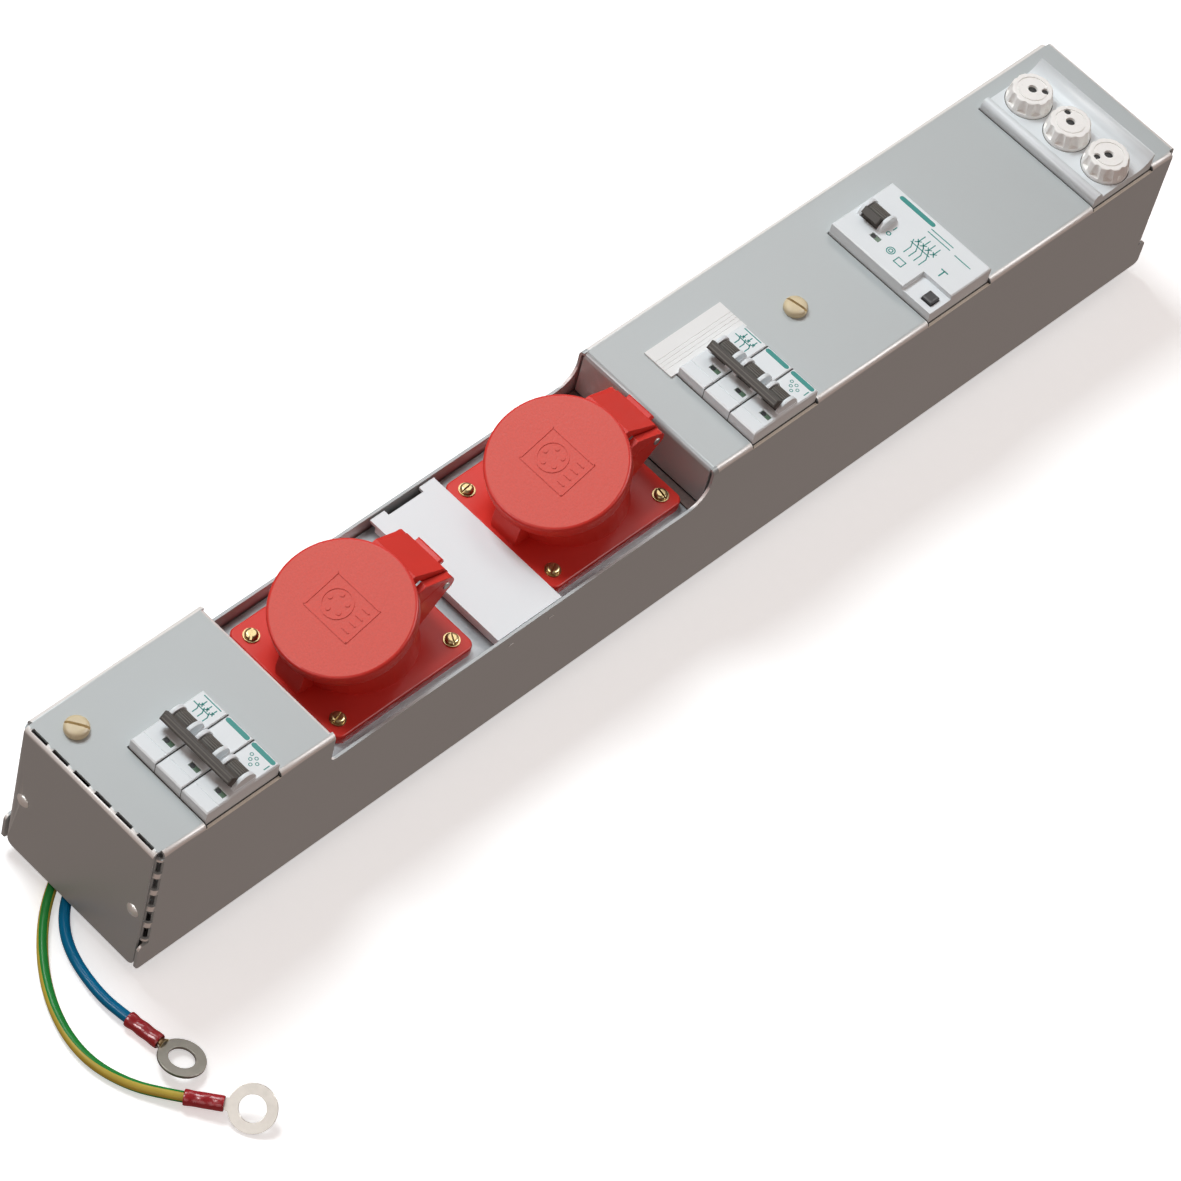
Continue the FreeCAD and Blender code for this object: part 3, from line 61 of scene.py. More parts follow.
# Room, floor and lights. Each light: name, place, the point it faces, length along X, width, watts, colour,
# and whether it lights the walls or is only mirrored in them.
ROOM_COLOUR = (0.31, 0.247, 0.224, 1.0)
ROOM_STRENGTH = 1.0
COOL = (0.9, 0.97, 1.0)
WHITE = (1.0, 1.0, 1.0)
LIGHTS = (
    ("key", (0.05, 1.35, 2.3), (0, 0, 0), 1.1, 1.1, 46.0, COOL, True),
    ("card_left", (-2.2, -0.9, 1.0), (0, 0, 0.05), 1.6, 1.6, 12.0, WHITE, False),
    ("card_top", (1.2, 0.85, 2.0), (0, 0, 0.1), 1.0, 1.0, 11.0, WHITE, False),
    ("card_right", (1.05, -0.95, 1.45), (0, 0, 0.1), 1.8, 0.8, 56.0, WHITE, False),
    ("card_end", (-1.5, 0.7, 1.5), (-0.35, 0, 0.1), 0.9, 0.9, 40.0, WHITE, False),
)
FLOOR_HALF = 6.0
FLOOR_CELLS = 8
FLOOR_DROP = 0.05 * MM

# Finishes. Each row: colour from 0 to 255, roughness, share that the colour varies by, clouds of colour per
# metre, grains per metre, depth of the grain in millimetres, and fixed values of other shader inputs.
PLAIN = {}
DULL = {"Specular IOR Level": 0.14}
METAL = {"Metallic": 1.0}
FINISH_TABLE = {
    "hood_paint": ((182, 189, 190), 0.32, 0.02, 9.0, 1100.0, 0.01, PLAIN),
    "zinc": ((150, 152, 154), 0.55, 0.12, 160.0, 900.0, 0.01, METAL),
    "rivet": ((236, 236, 232), 0.34, 0.05, 400.0, 2500.0, 0.006, {"Metallic": 0.8}),
    "nylon": ((222, 205, 166), 0.5, 0.06, 220.0, 1500.0, 0.015, PLAIN),
    "white_plastic": ((238, 244, 247), 0.42, 0.015, 40.0, 2600.0, 0.008, PLAIN),
    "switch_white": ((234, 240, 243), 0.42, 0.015, 40.0, 2600.0, 0.008, PLAIN),
    "dark_plastic": ((90, 87, 83), 0.5, 0.07, 120.0, 1800.0, 0.014, DULL),
    "black_plastic": ((40, 40, 42), 0.5, 0.1, 120.0, 1800.0, 0.014, PLAIN),
    "green_plastic": ((92, 120, 98), 0.3, 0.08, 300.0, 1800.0, 0.004, PLAIN),
    "porcelain": ((251, 250, 247), 0.3, 0.025, 150.0, 900.0, 0.012, PLAIN),
    "fuse_steel": ((190, 190, 188), 0.3, 0.06, 300.0, 900.0, 0.006, METAL),
    "red_plastic": ((228, 58, 48), 0.36, 0.03, 60.0, 1500.0, 0.01, {"Specular IOR Level": 0.2}),
    "lid_red": ((230, 76, 58), 0.5, 0.05, 1100.0, 900.0, 0.12, {"Specular IOR Level": 0.34}),
    "insert_black": ((52, 52, 54), 0.5, 0.08, 90.0, 1500.0, 0.016, PLAIN),
    "brass": ((160, 142, 104), 0.3, 0.16, 700.0, 1500.0, 0.006, METAL),
    "rubber": ((45, 45, 46), 0.7, 0.1, 120.0, 1200.0, 0.03, PLAIN),
    "steel": ((148, 142, 138), 0.5, 0.1, 300.0, 1500.0, 0.006, METAL),
    "grey_plastic": ((150, 152, 154), 0.5, 0.05, 90.0, 1500.0, 0.016, PLAIN),
    "earth_insulation": ((38, 142, 60), 0.24, 0.05, 120.0, 900.0, 0.006, DULL),
    "earth_stripe": ((206, 182, 70), 0.4, 0.05, 120.0, 900.0, 0.01, DULL),
    "neutral_insulation": ((0, 122, 172), 0.22, 0.06, 120.0, 900.0, 0.006, {"Specular IOR Level": 0.1}),
    "crimp_red": ((178, 26, 38), 0.24, 0.12, 260.0, 420.0, 0.16, PLAIN),
    "tinned": ((206, 203, 196), 0.32, 0.05, 260.0, 1500.0, 0.003, {"Metallic": 0.9}),
    # Painted shade: a darker copy of the tinned finish for the neutral lug, standing in for its dimmer
    # reflection
    "shaded_tin": ((133, 130, 122), 0.36, 0.06, 260.0, 1500.0, 0.004, {"Metallic": 0.9}),
    "teal_print": ((0, 142, 134), 0.5, 0.05, 300.0, 2600.0, 0.004, PLAIN),
    "blank_white": ((240, 241, 240), 0.5, 0.01, 60.0, 1500.0, 0.006, PLAIN),
    "cover_white": ((224, 230, 233), 0.4, 0.015, 40.0, 2600.0, 0.008, PLAIN),
    # Painted highlight: paler than the toggles' plastic, for the light caught by their ribs and lines
    "grip_highlight": ((118, 114, 108), 0.5, 0.06, 200.0, 1800.0, 0.008, DULL),
    # Bare cut edge of the sheet, made paler still as painted light, so the edge looks lit where the devices
    # shade it
    "bare_edge_and_painted_light": ((250, 244, 228), 0.5, 0.04, 200.0, 1500.0, 0.01, PLAIN),
    # Painted shade: dark brown foam that stands in for the shade on the recess floor beside the right socket
    "shade_foam": ((112, 98, 94), 0.9, 0.12, 500.0, 1500.0, 0.1, DULL),
    # Painted shade: near black for dark pieces set in gaps and holes where shade falls
    "shade": ((26, 25, 25), 0.8, 0.1, 120.0, 1500.0, 0.02, PLAIN),
}
FLOOR_GLOW = {"Emission Color": (1.0, 1.0, 1.0, 1.0), "Emission Strength": 0.5}
FLOOR_FINISH = ((250, 250, 250), 0.9, 0.004, 3.0, 200.0, 0.01, FLOOR_GLOW)
# Painted highlight: a pale colour for the hood paint's round bends, standing in for the light the bends catch
BEND_HIGHLIGHT_COLOURS = {"hood_paint": (250, 247, 243)}
# Own finishes of some nodes; the neutral lug's darker tin is painted shade
NODE_FINISHES = {"module_blank": "blank_white", "fuse_cover": "cover_white", "neutral_lug": "shaded_tin"}
WHOLE_RANGE = (0.0, 1.0)
NOISE_RANGE = (0.3, 0.7)
GLOSS_RANGE = (0.1, 0.4)
GLOSS_SPREAD = 0.12
# How steep a normal must be to take the painted bend highlight, and the recess's right bend, which stays in
# shade without it
BEND_HIGHLIGHT_RANGE = (0.995, 0.93)
SHADED_BEND_X = 10.1 * MM
SHADED_BEND_HALF = 1.9 * MM
CLOUD_DETAIL = 4.0
GRAIN_DETAIL = 2.0

# Rounding of edges
WELD = 0.001 * MM
FLAT_ANGLE = math.radians(0.5)
NODE_ANGLE = math.radians(40.0)
PIECE_ANGLE = math.radians(35.0)
EDGE_STEPS = 2
NODE_EDGE = 0.25 * MM
BROAD_EDGE = 0.45 * MM

# Supply wires: the routes of the two leads in millimetres, from their terminals to their lugs
WIRE_R = 2.75 * MM
WIRE_SIDES = 28
WIRE_IN_SLEEVE = 8.0 * MM
EARTH_ROUTE = (
    (-312.9, 23.0, 6.4), (-326.9, 23.0, 6.4), (-339.4, 19.6, 3.6), (-351.9, 13.2, 2.9), (-365.4, 3.2, 2.9),
    (-377.9, -9.8, 2.9), (-387.9, -23.8, 2.9), (-395.3, -38.6, 2.9), (-399.9, -54.6, 2.9),
    (-400.3, -70.6, 2.9), (-395.7, -86.2, 2.9), (-388.3, -99.6, 3.5), (-380.3, -110.4, 4.9),
)
NEUTRAL_ROUTE = (
    (-312.9, 13.7, 6.2), (-325.4, 13.7, 6.2), (-337.4, 11.0, 3.6), (-348.4, 5.7, 2.9), (-357.4, -1.9, 2.9),
    (-364.4, -11.2, 2.9), (-368.9, -21.8, 2.9), (-371.5, -33.4, 2.9), (-372.8, -45.0, 3.1),
    (-372.8, -55.1, 3.9), (-371.7, -63.0, 4.1),
)
ROUTE_ORDER = 3
ROUTE_STEPS = 8

# Faces round the wire in each stripe, 0 for none, and the stripes' turn in degrees at shares of its length
EARTH_STRIPE = 7
EARTH_TURNS = ((0.0, 140), (0.25, 140), (0.55, 122), (1.0, 76))
NEUTRAL_STRIPE = 0
NEUTRAL_TURNS = ((0.0, 0), (1.0, 0))

# Sleeves of the lugs. Each station: share of the length, share of the radius, and whether it was crimped.
SLEEVE_R = 4.0 * MM
SLEEVE_BORE_R = 3.0 * MM
SLEEVE_LENGTH = 19.0 * MM
SLEEVE_PINCH = 0.87
SLEEVE_STATIONS = (
    (0.0, 0.97, False), (0.04, 1.0, False), (0.1, 0.985, False), (0.16, 0.95, False), (0.24, 0.93, True),
    (0.32, 0.93, True), (0.4, 0.95, False), (0.52, 0.96, False), (0.62, 0.95, True), (0.74, 0.95, True),
    (0.82, 0.96, False), (0.95, 0.96, False), (1.0, 0.93, False),
)
EARTH_TWIST = math.radians(38.0)
NEUTRAL_TWIST = math.radians(-13.5)

# Flared end of the neutral lug's barrel: millimetres past the sleeve, and radius there
BARREL_PROFILE = (
    (-1.5, 2.5), (0.4, 2.5), (1.6, 3.0), (2.4, 3.5), (2.4, 3.1), (1.4, 2.6), (0.4, 2.2), (-1.5, 2.2),
)

# Prints: thickness and line width, and the sides of round pieces
PRINT = 0.04 * MM
STROKE = 0.6 * MM
BAR_END_STEPS = 6
BROAD_BAR_STEPS = 4
DOT_SIDES = 24
RING_SIDES = 32

# Sign of a switched contact: two stubs, an open arm and a cross, as bars in shares of its half length
CONTACT_SIGN = (
    ((-1.0, 0.0), (-0.35, 0.0)), ((0.35, 0.0), (1.0, 0.0)), ((-0.35, 0.0), (0.25, 0.32)),
    ((0.2, -0.14), (0.5, 0.14)), ((0.2, 0.14), (0.5, -0.14)),
)

# Hood and the devices in its openings
HOOD_TOP = 99.4 * MM
HOOD_HALF_WIDTH = 47.0 * MM
MODULE = 17.5 * MM
DEVICE_NEAR = -45.1 * MM
NOSE = 45.0 * MM
BREAKER_XS = (-299.8 * MM, 59.1 * MM)
BREAKER_FAR = 7.1 * MM
BREAKER_FACE = HOOD_TOP + 6.5 * MM
POLES = 3
POLE_MIDDLES = [DEVICE_NEAR + MODULE * (pole + 0.5) for pole in range(POLES)]
SWITCH_X = 185.5 * MM
SWITCH_FAR = 24.6 * MM
SWITCH_FACE = HOOD_TOP + 8.2 * MM
FUSE_X = 310.0 * MM
FUSE_FAR = 35.3 * MM

# Signs on a breaker: a broad bar on the near two poles, a plan of the contacts on the far pole, and terminal
# rings on the near one. Points are in millimetres from the middle of the pole.
BREAKER_BAR_X = NOSE / 2 - 2.4 * MM
BREAKER_BAR_HALF = 6.4 * MM
BREAKER_BAR_WIDTH = 2.6 * MM
BREAKER_SIGN_X = 14.6
BREAKER_SIGN_YS = (-4.4, -1.0, 2.4)
BREAKER_SIGN_HALF = 4.4 * MM
BREAKER_LINKS = (((BREAKER_SIGN_X, -3.6), (BREAKER_SIGN_X, 6.2)), ((20.6, -5.6), (20.6, 5.6)))
BREAKER_RINGS = ((13.4, 1.6), (15.8, 3.2), (15.8, 0.0), (11.4, -0.6), (14.0, -2.4))
BREAKER_RING_R = 0.8 * MM
BREAKER_RING_WIDTH = 0.4 * MM
BREAKER_DASHES = (((14.4, -6.6), (17.6, -6.6)),)

# Signs on the switch: points in millimetres from the middle of its face; each ring is x, y and radius
SWITCH_BAR_X = NOSE / 2 - 3.9 * MM
SWITCH_BAR_YS = (-7.4 * MM, 14.2 * MM)
SWITCH_BAR_WIDTH = 2.8 * MM
SWITCH_SIGN_X = 1.6
SWITCH_SIGN_YS = (-10.5, -14.0, -17.5, -21.0)
SWITCH_SIGN_HALF = 8.0 * MM
SWITCH_LINES = (
    ((SWITCH_SIGN_X, -20.6), (SWITCH_SIGN_X, -8.0)), ((-0.4, 2.4), (2.2, 2.4)),
    ((13.4, -24.0), (13.4, -9.0)), ((16.0, -24.0), (16.0, -9.0)), ((13.0, -38.6), (13.0, -28.0)),
)
SWITCH_RINGS = ((-11.2, -6.0, 2.2), (-11.2, -6.0, 1.1), (-4.0, 2.4, 1.1))
SWITCH_BOX_AT = Vector((-13.0 * MM, -13.9 * MM, 0))
SWITCH_BOX_HALF = (2.0 * MM, 2.5 * MM)
TEST_LETTER = (((1.2, -34.0), (1.2, -30.0)), ((1.2, -32.0), (-3.2, -32.0)))
TEST_LETTER_STROKE = 0.8 * MM

# Windows, toggles, grip ribs with a painted highlight, and the painted shade in the joints of the devices
WINDOW_OFFSET = -9.7 * MM
WINDOW_SIDE = -3.6 * MM
WINDOW_SUNK = 0.4 * MM
WINDOW_WIDTH = 2.6 * MM
MASK_YS = (1.2 * MM, 1.5 * MM)
SWITCH_WINDOW = (SWITCH_X - 11.2 * MM, 4.7 * MM)
TOGGLE_OFFSET = 2.3 * MM
TOGGLE_SUNK = 1.5 * MM
TOGGLE_LEAN = math.radians(-42.0)
TOGGLE_WIDTH = 8.8 * MM
TOGGLE_R = 6.0 * MM
SWITCH_TOGGLE = Vector((SWITCH_X - 1.0 * MM, 13.4 * MM, SWITCH_FACE - TOGGLE_SUNK))
SWITCH_TOGGLE_WIDTH = 10.6 * MM
RIB_TURNS = (-12, 0, 12, 24, 36, 48, 60)
RIB_MARGIN = 0.5 * MM
RIB_WIDTH = 0.5 * MM
RIB_HEIGHT = 0.25 * MM
TIE_BAR_TOP = 13.5 * MM
TIE_BAR_LENGTH = 47.3 * MM
TIE_LINE_XS = (-1.0 * MM, 1.0 * MM)
TIE_LINE_MARGIN = 1.5 * MM
TIE_LINE_WIDTH = 0.6 * MM
TIE_LINE_HEIGHT = 0.22 * MM
POLE_GAP = 0.3 * MM
POLE_GAP_INSET = 0.4 * MM
POLE_GAP_SIDE = NOSE / 2 - 0.12 * MM
POLE_GAP_EDGE = 0.05 * MM

# Slotted screws; the turns are in degrees
SCREW_SIDES = 40
SCREW_FOOT_SHARE = 0.95
SCREW_FOOT_RISE = 0.14
DOME_NARROWING = 0.5
DOME_SHARES = (0.0, 0.25, 0.45, 0.62, 0.76, 0.88, 0.96, 1.0)
NYLON_SCREW = {
    "radius": 6.2 * MM, "height": 4.4 * MM, "slot": 1.4 * MM, "depth": 2.2 * MM, "shank_r": 2.9 * MM,
    "shank": 14.0 * MM,
}
NYLON_SCREWS = ((-334.8 * MM, 29.0 * MM, -55.0), (113.8 * MM, 0.7 * MM, -79.0))
NYLON_EDGE = 0.15 * MM
BRASS_SCREW = {
    "radius": 3.4 * MM, "height": 1.9 * MM, "slot": 1.0 * MM, "depth": 1.2 * MM, "shank_r": 2.0 * MM,
    "shank": 12.2 * MM,
}
BRASS_EDGE = 0.12 * MM
WASHER_R = 4.2 * MM
WASHER = 0.7 * MM

# Sockets: flange, tilted plug frame, lid signs and hinge webs
SOCKET_XS = (-184.5 * MM, -43.0 * MM)
FLANGE_TOP = HOOD_TOP - 24.5 * MM
SOCKET_TILT = math.radians(-20.0)
FIXING_X = 37.0 * MM
FIXING_Y = 30.0 * MM
FIXING_TURNS = ((15, 62, 110, 40), (28, 80, 135, 5))
LID_TOP = 37.5 * MM
LID_FRAME = (22.0 * MM, 28.5 * MM)
LID_GRAIN_R = 34.25 * MM
LID_GRAIN = 0.03 * MM
LID_SIDES = 96
LID_STROKE = 0.8 * MM
LID_RAISED = 0.4 * MM
LID_SIGN_AT = Vector((0, 3.2 * MM))
LID_SIGN_R = 7.8 * MM
LID_CONTACTS = 5
LID_CONTACTS_R = 4.9 * MM
LID_CONTACT_R = 1.25 * MM
LID_DASHES = [((u, -11.2), (u, -7.4)) for u in (-6.6, -2.2, 2.2, 6.6)]
LID_DASH_WIDTH = 1.0 * MM
HINGE_U = 46.7 * MM
HINGE_W = 13.5 * MM
EAR_R = 5.0 * MM
EAR_DIAGONAL = 0.7
EAR_INSIDE = 13.6 * MM
EAR_OUTSIDE = 17.6 * MM
WEB_ROOT = 26.0 * MM
WEB_TOP = LID_TOP - 8.6 * MM
WEB_SHOULDER = 36.5 * MM
WEB_EDGE = 0.4 * MM

# Seals and foam of painted shade, and pale cut edges with painted light, of the hood's openings
DEVICE_OPENINGS = [(x, BREAKER_FAR) for x in BREAKER_XS] + [(SWITCH_X, SWITCH_FAR), (FUSE_X, FUSE_FAR)]
OPENING_GAP = 0.75 * MM
OPENING_GAP_Y = 0.35 * MM
# Dark seals of painted shade in the gaps round the devices' openings
SHADE_SEAL_LOW = HOOD_TOP - 5.0 * MM
SHADE_SEAL_TOP = HOOD_TOP - 2.3 * MM
SHADE_SEAL_BEND = ((0.2 * MM, 2.4 * MM), (0.9 * MM, 1.2 * MM), (2.0 * MM, 0.45 * MM))
SHADE_SEAL_DROP = 0.25 * MM
# Pale lips on the hood's cut edges: bare metal, and painted light where the devices shade them
LIP_LOW = HOOD_TOP - 3.3 * MM
LIP_TOP = HOOD_TOP - 2.7 * MM
LIP_DEPTH = 1.45 * MM
LIP_EDGE = 0.1 * MM
# Dark seal of painted shade along the far side of the tray, inside the hood
TRAY_SHADE_SEAL_X = 338.0 * MM
TRAY_SHADE_SEAL_NEAR = 41.3 * MM
TRAY_SHADE_SEAL_FAR = 45.2 * MM
TRAY_SHADE_SEAL_LOW = 9.0 * MM
TRAY_SHADE_SEAL_TOP = 12.0 * MM
# Foam of painted shade over the recess floor beside the right socket
SHADE_FOAM_X = (2.2 * MM, 8.4 * MM)
SHADE_FOAM_HALF = 44.5 * MM
SHADE_FOAM_LOW = HOOD_TOP - 29.9 * MM
SHADE_FOAM_TOP = HOOD_TOP - 28.9 * MM
SHADE_FOAM_EDGE = 0.2 * MM

# Fuse caps: the painted shade in the gap round them, and the radius and depth of the painted shade in their
# holes; the turns are in degrees
FUSE_YS = (-31.9 * MM, -4.9 * MM, 22.1 * MM)
FUSE_TURNS = (155.0, 56.0, -51.0)
FUSE_TOP = HOOD_TOP + 12.5 * MM
CAP_SHADE_RING = (12.4 * MM, 13.1 * MM)
CAP_SHADE_RING_LOW = HOOD_TOP + 1.2 * MM
CAP_SHADE_RING_TOP = HOOD_TOP + 2.86 * MM
CAP_SHADE_RING_SIDES = 64
SIGHT_HOLE = (2.45 * MM, 1.6 * MM)
PROBE_HOLE = (1.85 * MM, 1.2 * MM)
PROBE_AT = 6.6 * MM

# Pressed nibs on the near wall
NIB_XS = (-123.4 * MM, -96.4 * MM)
NIB_LEVEL = 69.4 * MM
NIB_HALF = 1.0 * MM
NIB_WIDTH = 1.5 * MM
NIB_RAISED = 0.4 * MM
NIB_EDGE = 0.2 * MM


def srgb(red, green, blue):
    """A screen colour from 0 to 255 as linear light."""
    def linear(level):
        share = level / 255
        return share / 12.92 if share <= 0.04045 else ((share + 0.055) / 1.055) ** 2.4
    return linear(red), linear(green), linear(blue), 1.0


def make_camera():
    """The camera of the photograph: a long lens, turned, raised and rolled."""
    data = bpy.data.cameras.new("camera")
    data.lens = CAMERA_LENS
    data.sensor_width = CAMERA_SENSOR
    camera = bpy.data.objects.new("camera", data)
    SCENE.collection.objects.link(camera)
    back = Vector((math.sin(CAMERA_AZIMUTH) * math.cos(CAMERA_ELEVATION),
                   -math.cos(CAMERA_AZIMUTH) * math.cos(CAMERA_ELEVATION),
                   math.sin(CAMERA_ELEVATION)))
    camera.location = CAMERA_TARGET + back * CAMERA_DISTANCE
    camera.rotation_mode = "QUATERNION"
    camera.rotation_quaternion = back.to_track_quat("Z", "Y") @ Quaternion(UP, CAMERA_ROLL)
    SCENE.camera = camera


def add_node(tree, kind, inputs=None, **settings):
    """One shader node; inputs are fixed values or the outputs of other nodes."""
    made = tree.nodes.new(kind)
    for key, value in settings.items():
        setattr(made, key, value)
    for key, value in (inputs or {}).items():
        if isinstance(value, bpy.types.NodeSocket):
            tree.links.new(value, made.inputs[key])
        else:
            made.inputs[key].default_value = value
    return made


def combine(tree, operation, *values):
    """The result of one sum with fixed values or the outputs of other nodes."""
    return add_node(tree, "ShaderNodeMath", dict(enumerate(values)), operation=operation).outputs[0]


def cloud(tree, place, scale, detail):
    """Noise over the surface; scale is in features per metre."""
    noise = add_node(tree, "ShaderNodeTexNoise", {"Vector": place, "Scale": scale, "Detail": detail})
    return noise.outputs["Fac"]


def spread(tree, value, reach, result):
    """Carry a range of values to another range."""
    ends = {"From Min": reach[0], "From Max": reach[1], "To Min": result[0], "To Max": result[1]}
    return add_node(tree, "ShaderNodeMapRange", {"Value": value, **ends}).outputs["Result"]


def tint(tree, value, first, second):
    """A colour between two, by a value from 0 to 1; each is a fixed colour or the output of a node."""
    mix = add_node(tree, "ShaderNodeMix", {"Factor": value}, data_type="RGBA")
    ends = {"A_Color": first, "B_Color": second}
    for socket in mix.inputs:
        colour = ends.get(socket.identifier)
        if isinstance(colour, bpy.types.NodeSocket):
            tree.links.new(colour, socket)
        elif colour:
            socket.default_value = colour
    return next(out for out in mix.outputs if out.type == "RGBA")


def bend_highlight_share(tree):
    """Share of painted highlight, from 0 on faces square to the strip to 1 on round edges, but 0 on the
    recess's right bend, which stays in shade.
    """
    places = add_node(tree, "ShaderNodeTexCoord").outputs
    size = add_node(tree, "ShaderNodeVectorMath", {0: places["Normal"]}, operation="ABSOLUTE")
    parts = add_node(tree, "ShaderNodeSeparateXYZ", {"Vector": size.outputs["Vector"]}).outputs
    most = combine(tree, "MAXIMUM", combine(tree, "MAXIMUM", parts["X"], parts["Y"]), parts["Z"])
    share = spread(tree, most, BEND_HIGHLIGHT_RANGE, WHOLE_RANGE)
    along = add_node(tree, "ShaderNodeSeparateXYZ", {"Vector": places["Object"]}).outputs["X"]
    shaded = combine(tree, "COMPARE", along, SHADED_BEND_X, SHADED_BEND_HALF)
    return combine(tree, "MULTIPLY", share, combine(tree, "SUBTRACT", 1.0, shaded))


def surface(name, colour, roughness, variation, cloud_scale, grain_scale, grain_depth, fixed):
    """A finish with uneven colour and gloss and a fine grain, and a painted highlight on the bends if it has
    a colour for them.
    """
    made = bpy.data.materials.new(name)
    made.use_nodes = True
    tree = made.node_tree
    shader = tree.nodes["Principled BSDF"]
    place = add_node(tree, "ShaderNodeTexCoord").outputs["Object"]
    clouds = cloud(tree, place, cloud_scale, CLOUD_DETAIL)
    levels = srgb(*colour)[:3]
    darker = tuple(level * (1 - variation) for level in levels) + (1.0,)
    lighter = tuple(min(level * (1 + variation), 1.0) for level in levels) + (1.0,)
    uneven = tint(tree, spread(tree, clouds, NOISE_RANGE, WHOLE_RANGE), darker, lighter)
    # Painted highlight on the round bends
    if name in BEND_HIGHLIGHT_COLOURS:
        uneven = tint(tree, bend_highlight_share(tree), uneven, srgb(*BEND_HIGHLIGHT_COLOURS[name]))
    tree.links.new(uneven, shader.inputs["Base Color"])
    grain = cloud(tree, place, grain_scale, GRAIN_DETAIL)
    limits = (roughness * (1 - GLOSS_SPREAD), roughness * (1 + GLOSS_SPREAD))
    rough = spread(tree, combine(tree, "MULTIPLY", clouds, grain), GLOSS_RANGE, limits)
    tree.links.new(rough, shader.inputs["Roughness"])
    bump = add_node(tree, "ShaderNodeBump", {"Height": grain, "Strength": 1.0, "Distance": grain_depth * MM})
    tree.links.new(bump.outputs["Normal"], shader.inputs["Normal"])
    for socket, value in fixed.items():
        shader.inputs[socket].default_value = value
    return made


FINISH = {name: surface(name, *row) for name, row in FINISH_TABLE.items()}


def dress_nodes():
    """Give every carried-over node the finish of its slot, or one of its own."""
    for part in frame["record"]["subparts"]:
        node = NODES[part["node"]]
        finish = NODE_FINISHES.get(part["node"], part["material_slot"])
        node.data.materials.clear()
        node.data.materials.append(FINISH[finish])


def crisp(piece, width, angle=PIECE_ANGLE):
    """Small round edges on a piece, where its faces meet at more than an angle."""
    edge = piece.modifiers.new("edge", "BEVEL")
    edge.width = width
    edge.segments = EDGE_STEPS
    edge.limit_method = "ANGLE"
    edge.angle_limit = angle
    edge.use_clamp_overlap = True
    edge.harden_normals = True
    return piece


def soften_nodes():
    """Small rounded edges on the nodes, broader on the breakers' poles and the fuse cover."""
    for name, node in NODES.items():
        weld = node.modifiers.new("weld", "WELD")
        weld.merge_threshold = WELD
        flat = node.modifiers.new("flat", "DECIMATE")
        flat.decimate_type = "DISSOLVE"
        flat.angle_limit = FLAT_ANGLE
        broad = "pole" in name or name == "fuse_cover"
        crisp(node, BROAD_EDGE if broad else NODE_EDGE, NODE_ANGLE)


def place_mesh(name, shape, body, slot, *finish_names):
    """Make a piece from a finished bmesh and let it ride on a body."""
    mesh = bpy.data.meshes.new(name)
    bmesh.ops.recalc_face_normals(shape, faces=shape.faces)
    shape.to_mesh(mesh)
    shape.free()
    for finish in finish_names or (slot,):
        mesh.materials.append(FINISH[finish])
    mesh.shade_smooth()
    mesh.set_sharp_from_angle(angle=PIECE_ANGLE)
    piece = bpy.data.objects.new(name, mesh)
    SCENE.collection.objects.link(piece)
    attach(piece, body)
    return piece


def centre_line(route):
    """Points along the smooth spline that a route's points control."""
    curve = bpy.data.curves.new("centre_line", "CURVE")
    curve.dimensions = "3D"
    spline = curve.splines.new("NURBS")
    spline.points.add(len(route) - 1)
    for point, place in zip(spline.points, route):
        point.co = (*place, 1)
    spline.order_u = ROUTE_ORDER
    spline.use_endpoint_u = True
    spline.resolution_u = ROUTE_STEPS
    guide = bpy.data.objects.new("centre_line", curve)
    SCENE.collection.objects.link(guide)
    bpy.context.view_layer.update()
    line = bpy.data.meshes.new_from_object(guide)
    points = [vertex.co.copy() for vertex in line.vertices]
    bpy.data.objects.remove(guide)
    bpy.data.meshes.remove(line)
    return points


def join_rings(shape, rings, capped=True):
    """Faces between neighbouring rings of points; returns them as rows of columns."""
    made = [[shape.verts.new(point) for point in ring] for ring in rings]
    sides = len(made[0])
    rows = []
    for first, second in zip(made, made[1:]):
        rows.append([shape.faces.new((first[k], first[(k + 1) % sides], second[(k + 1) % sides], second[k]))
                     for k in range(sides)])
    if capped:
        shape.faces.new(reversed(made[0]))
        shape.faces.new(made[-1])
    return rows


def oval(centre, first, second, sides, start=0.0):
    """Points round a centre, from its two half axes."""
    angles = [start + 2 * math.pi * k / sides for k in range(sides)]
    return [centre + first * math.cos(angle) + second * math.sin(angle) for angle in angles]


def disc(centre, radius, sides):
    """Outline of a circle in a plane."""
    return oval(Vector(centre), Vector((radius, 0)), Vector((0, radius)), sides)


def turn_at(turns, share):
    """Turn at a share of a wire's length, between key turns in degrees."""
    for (start, first), (end, second) in zip(turns, turns[1:]):
        if share <= end:
            part = (share - start) / (end - start)
            eased = part * part * (3 - 2 * part)
            return math.radians(first + (second - first) * eased)
    return math.radians(turns[-1][1])


def wire_rings(points, turns):
    """Circles square to a line of points, turned along it by key turns."""
    rings = []
    side = None
    last = len(points) - 1
    for index, point in enumerate(points):
        ahead = (points[min(index + 1, last)] - points[max(index - 1, 0)]).normalized()
        side = side or ahead.cross(UP)
        side = (side - ahead * side.dot(ahead)).normalized()
        over = ahead.cross(side)
        rings.append(oval(point, side * WIRE_R, over * WIRE_R, WIRE_SIDES, turn_at(turns, index / last)))
    return rings


def lead_end(places):
    """Mouth of the sleeve at the end of a lead, and the directions along it, level across it and over it."""
    ahead = (places[-1] - places[-2]).normalized()
    across = UP.cross(ahead).normalized()
    return places[-1].copy(), ahead, across, ahead.cross(across)


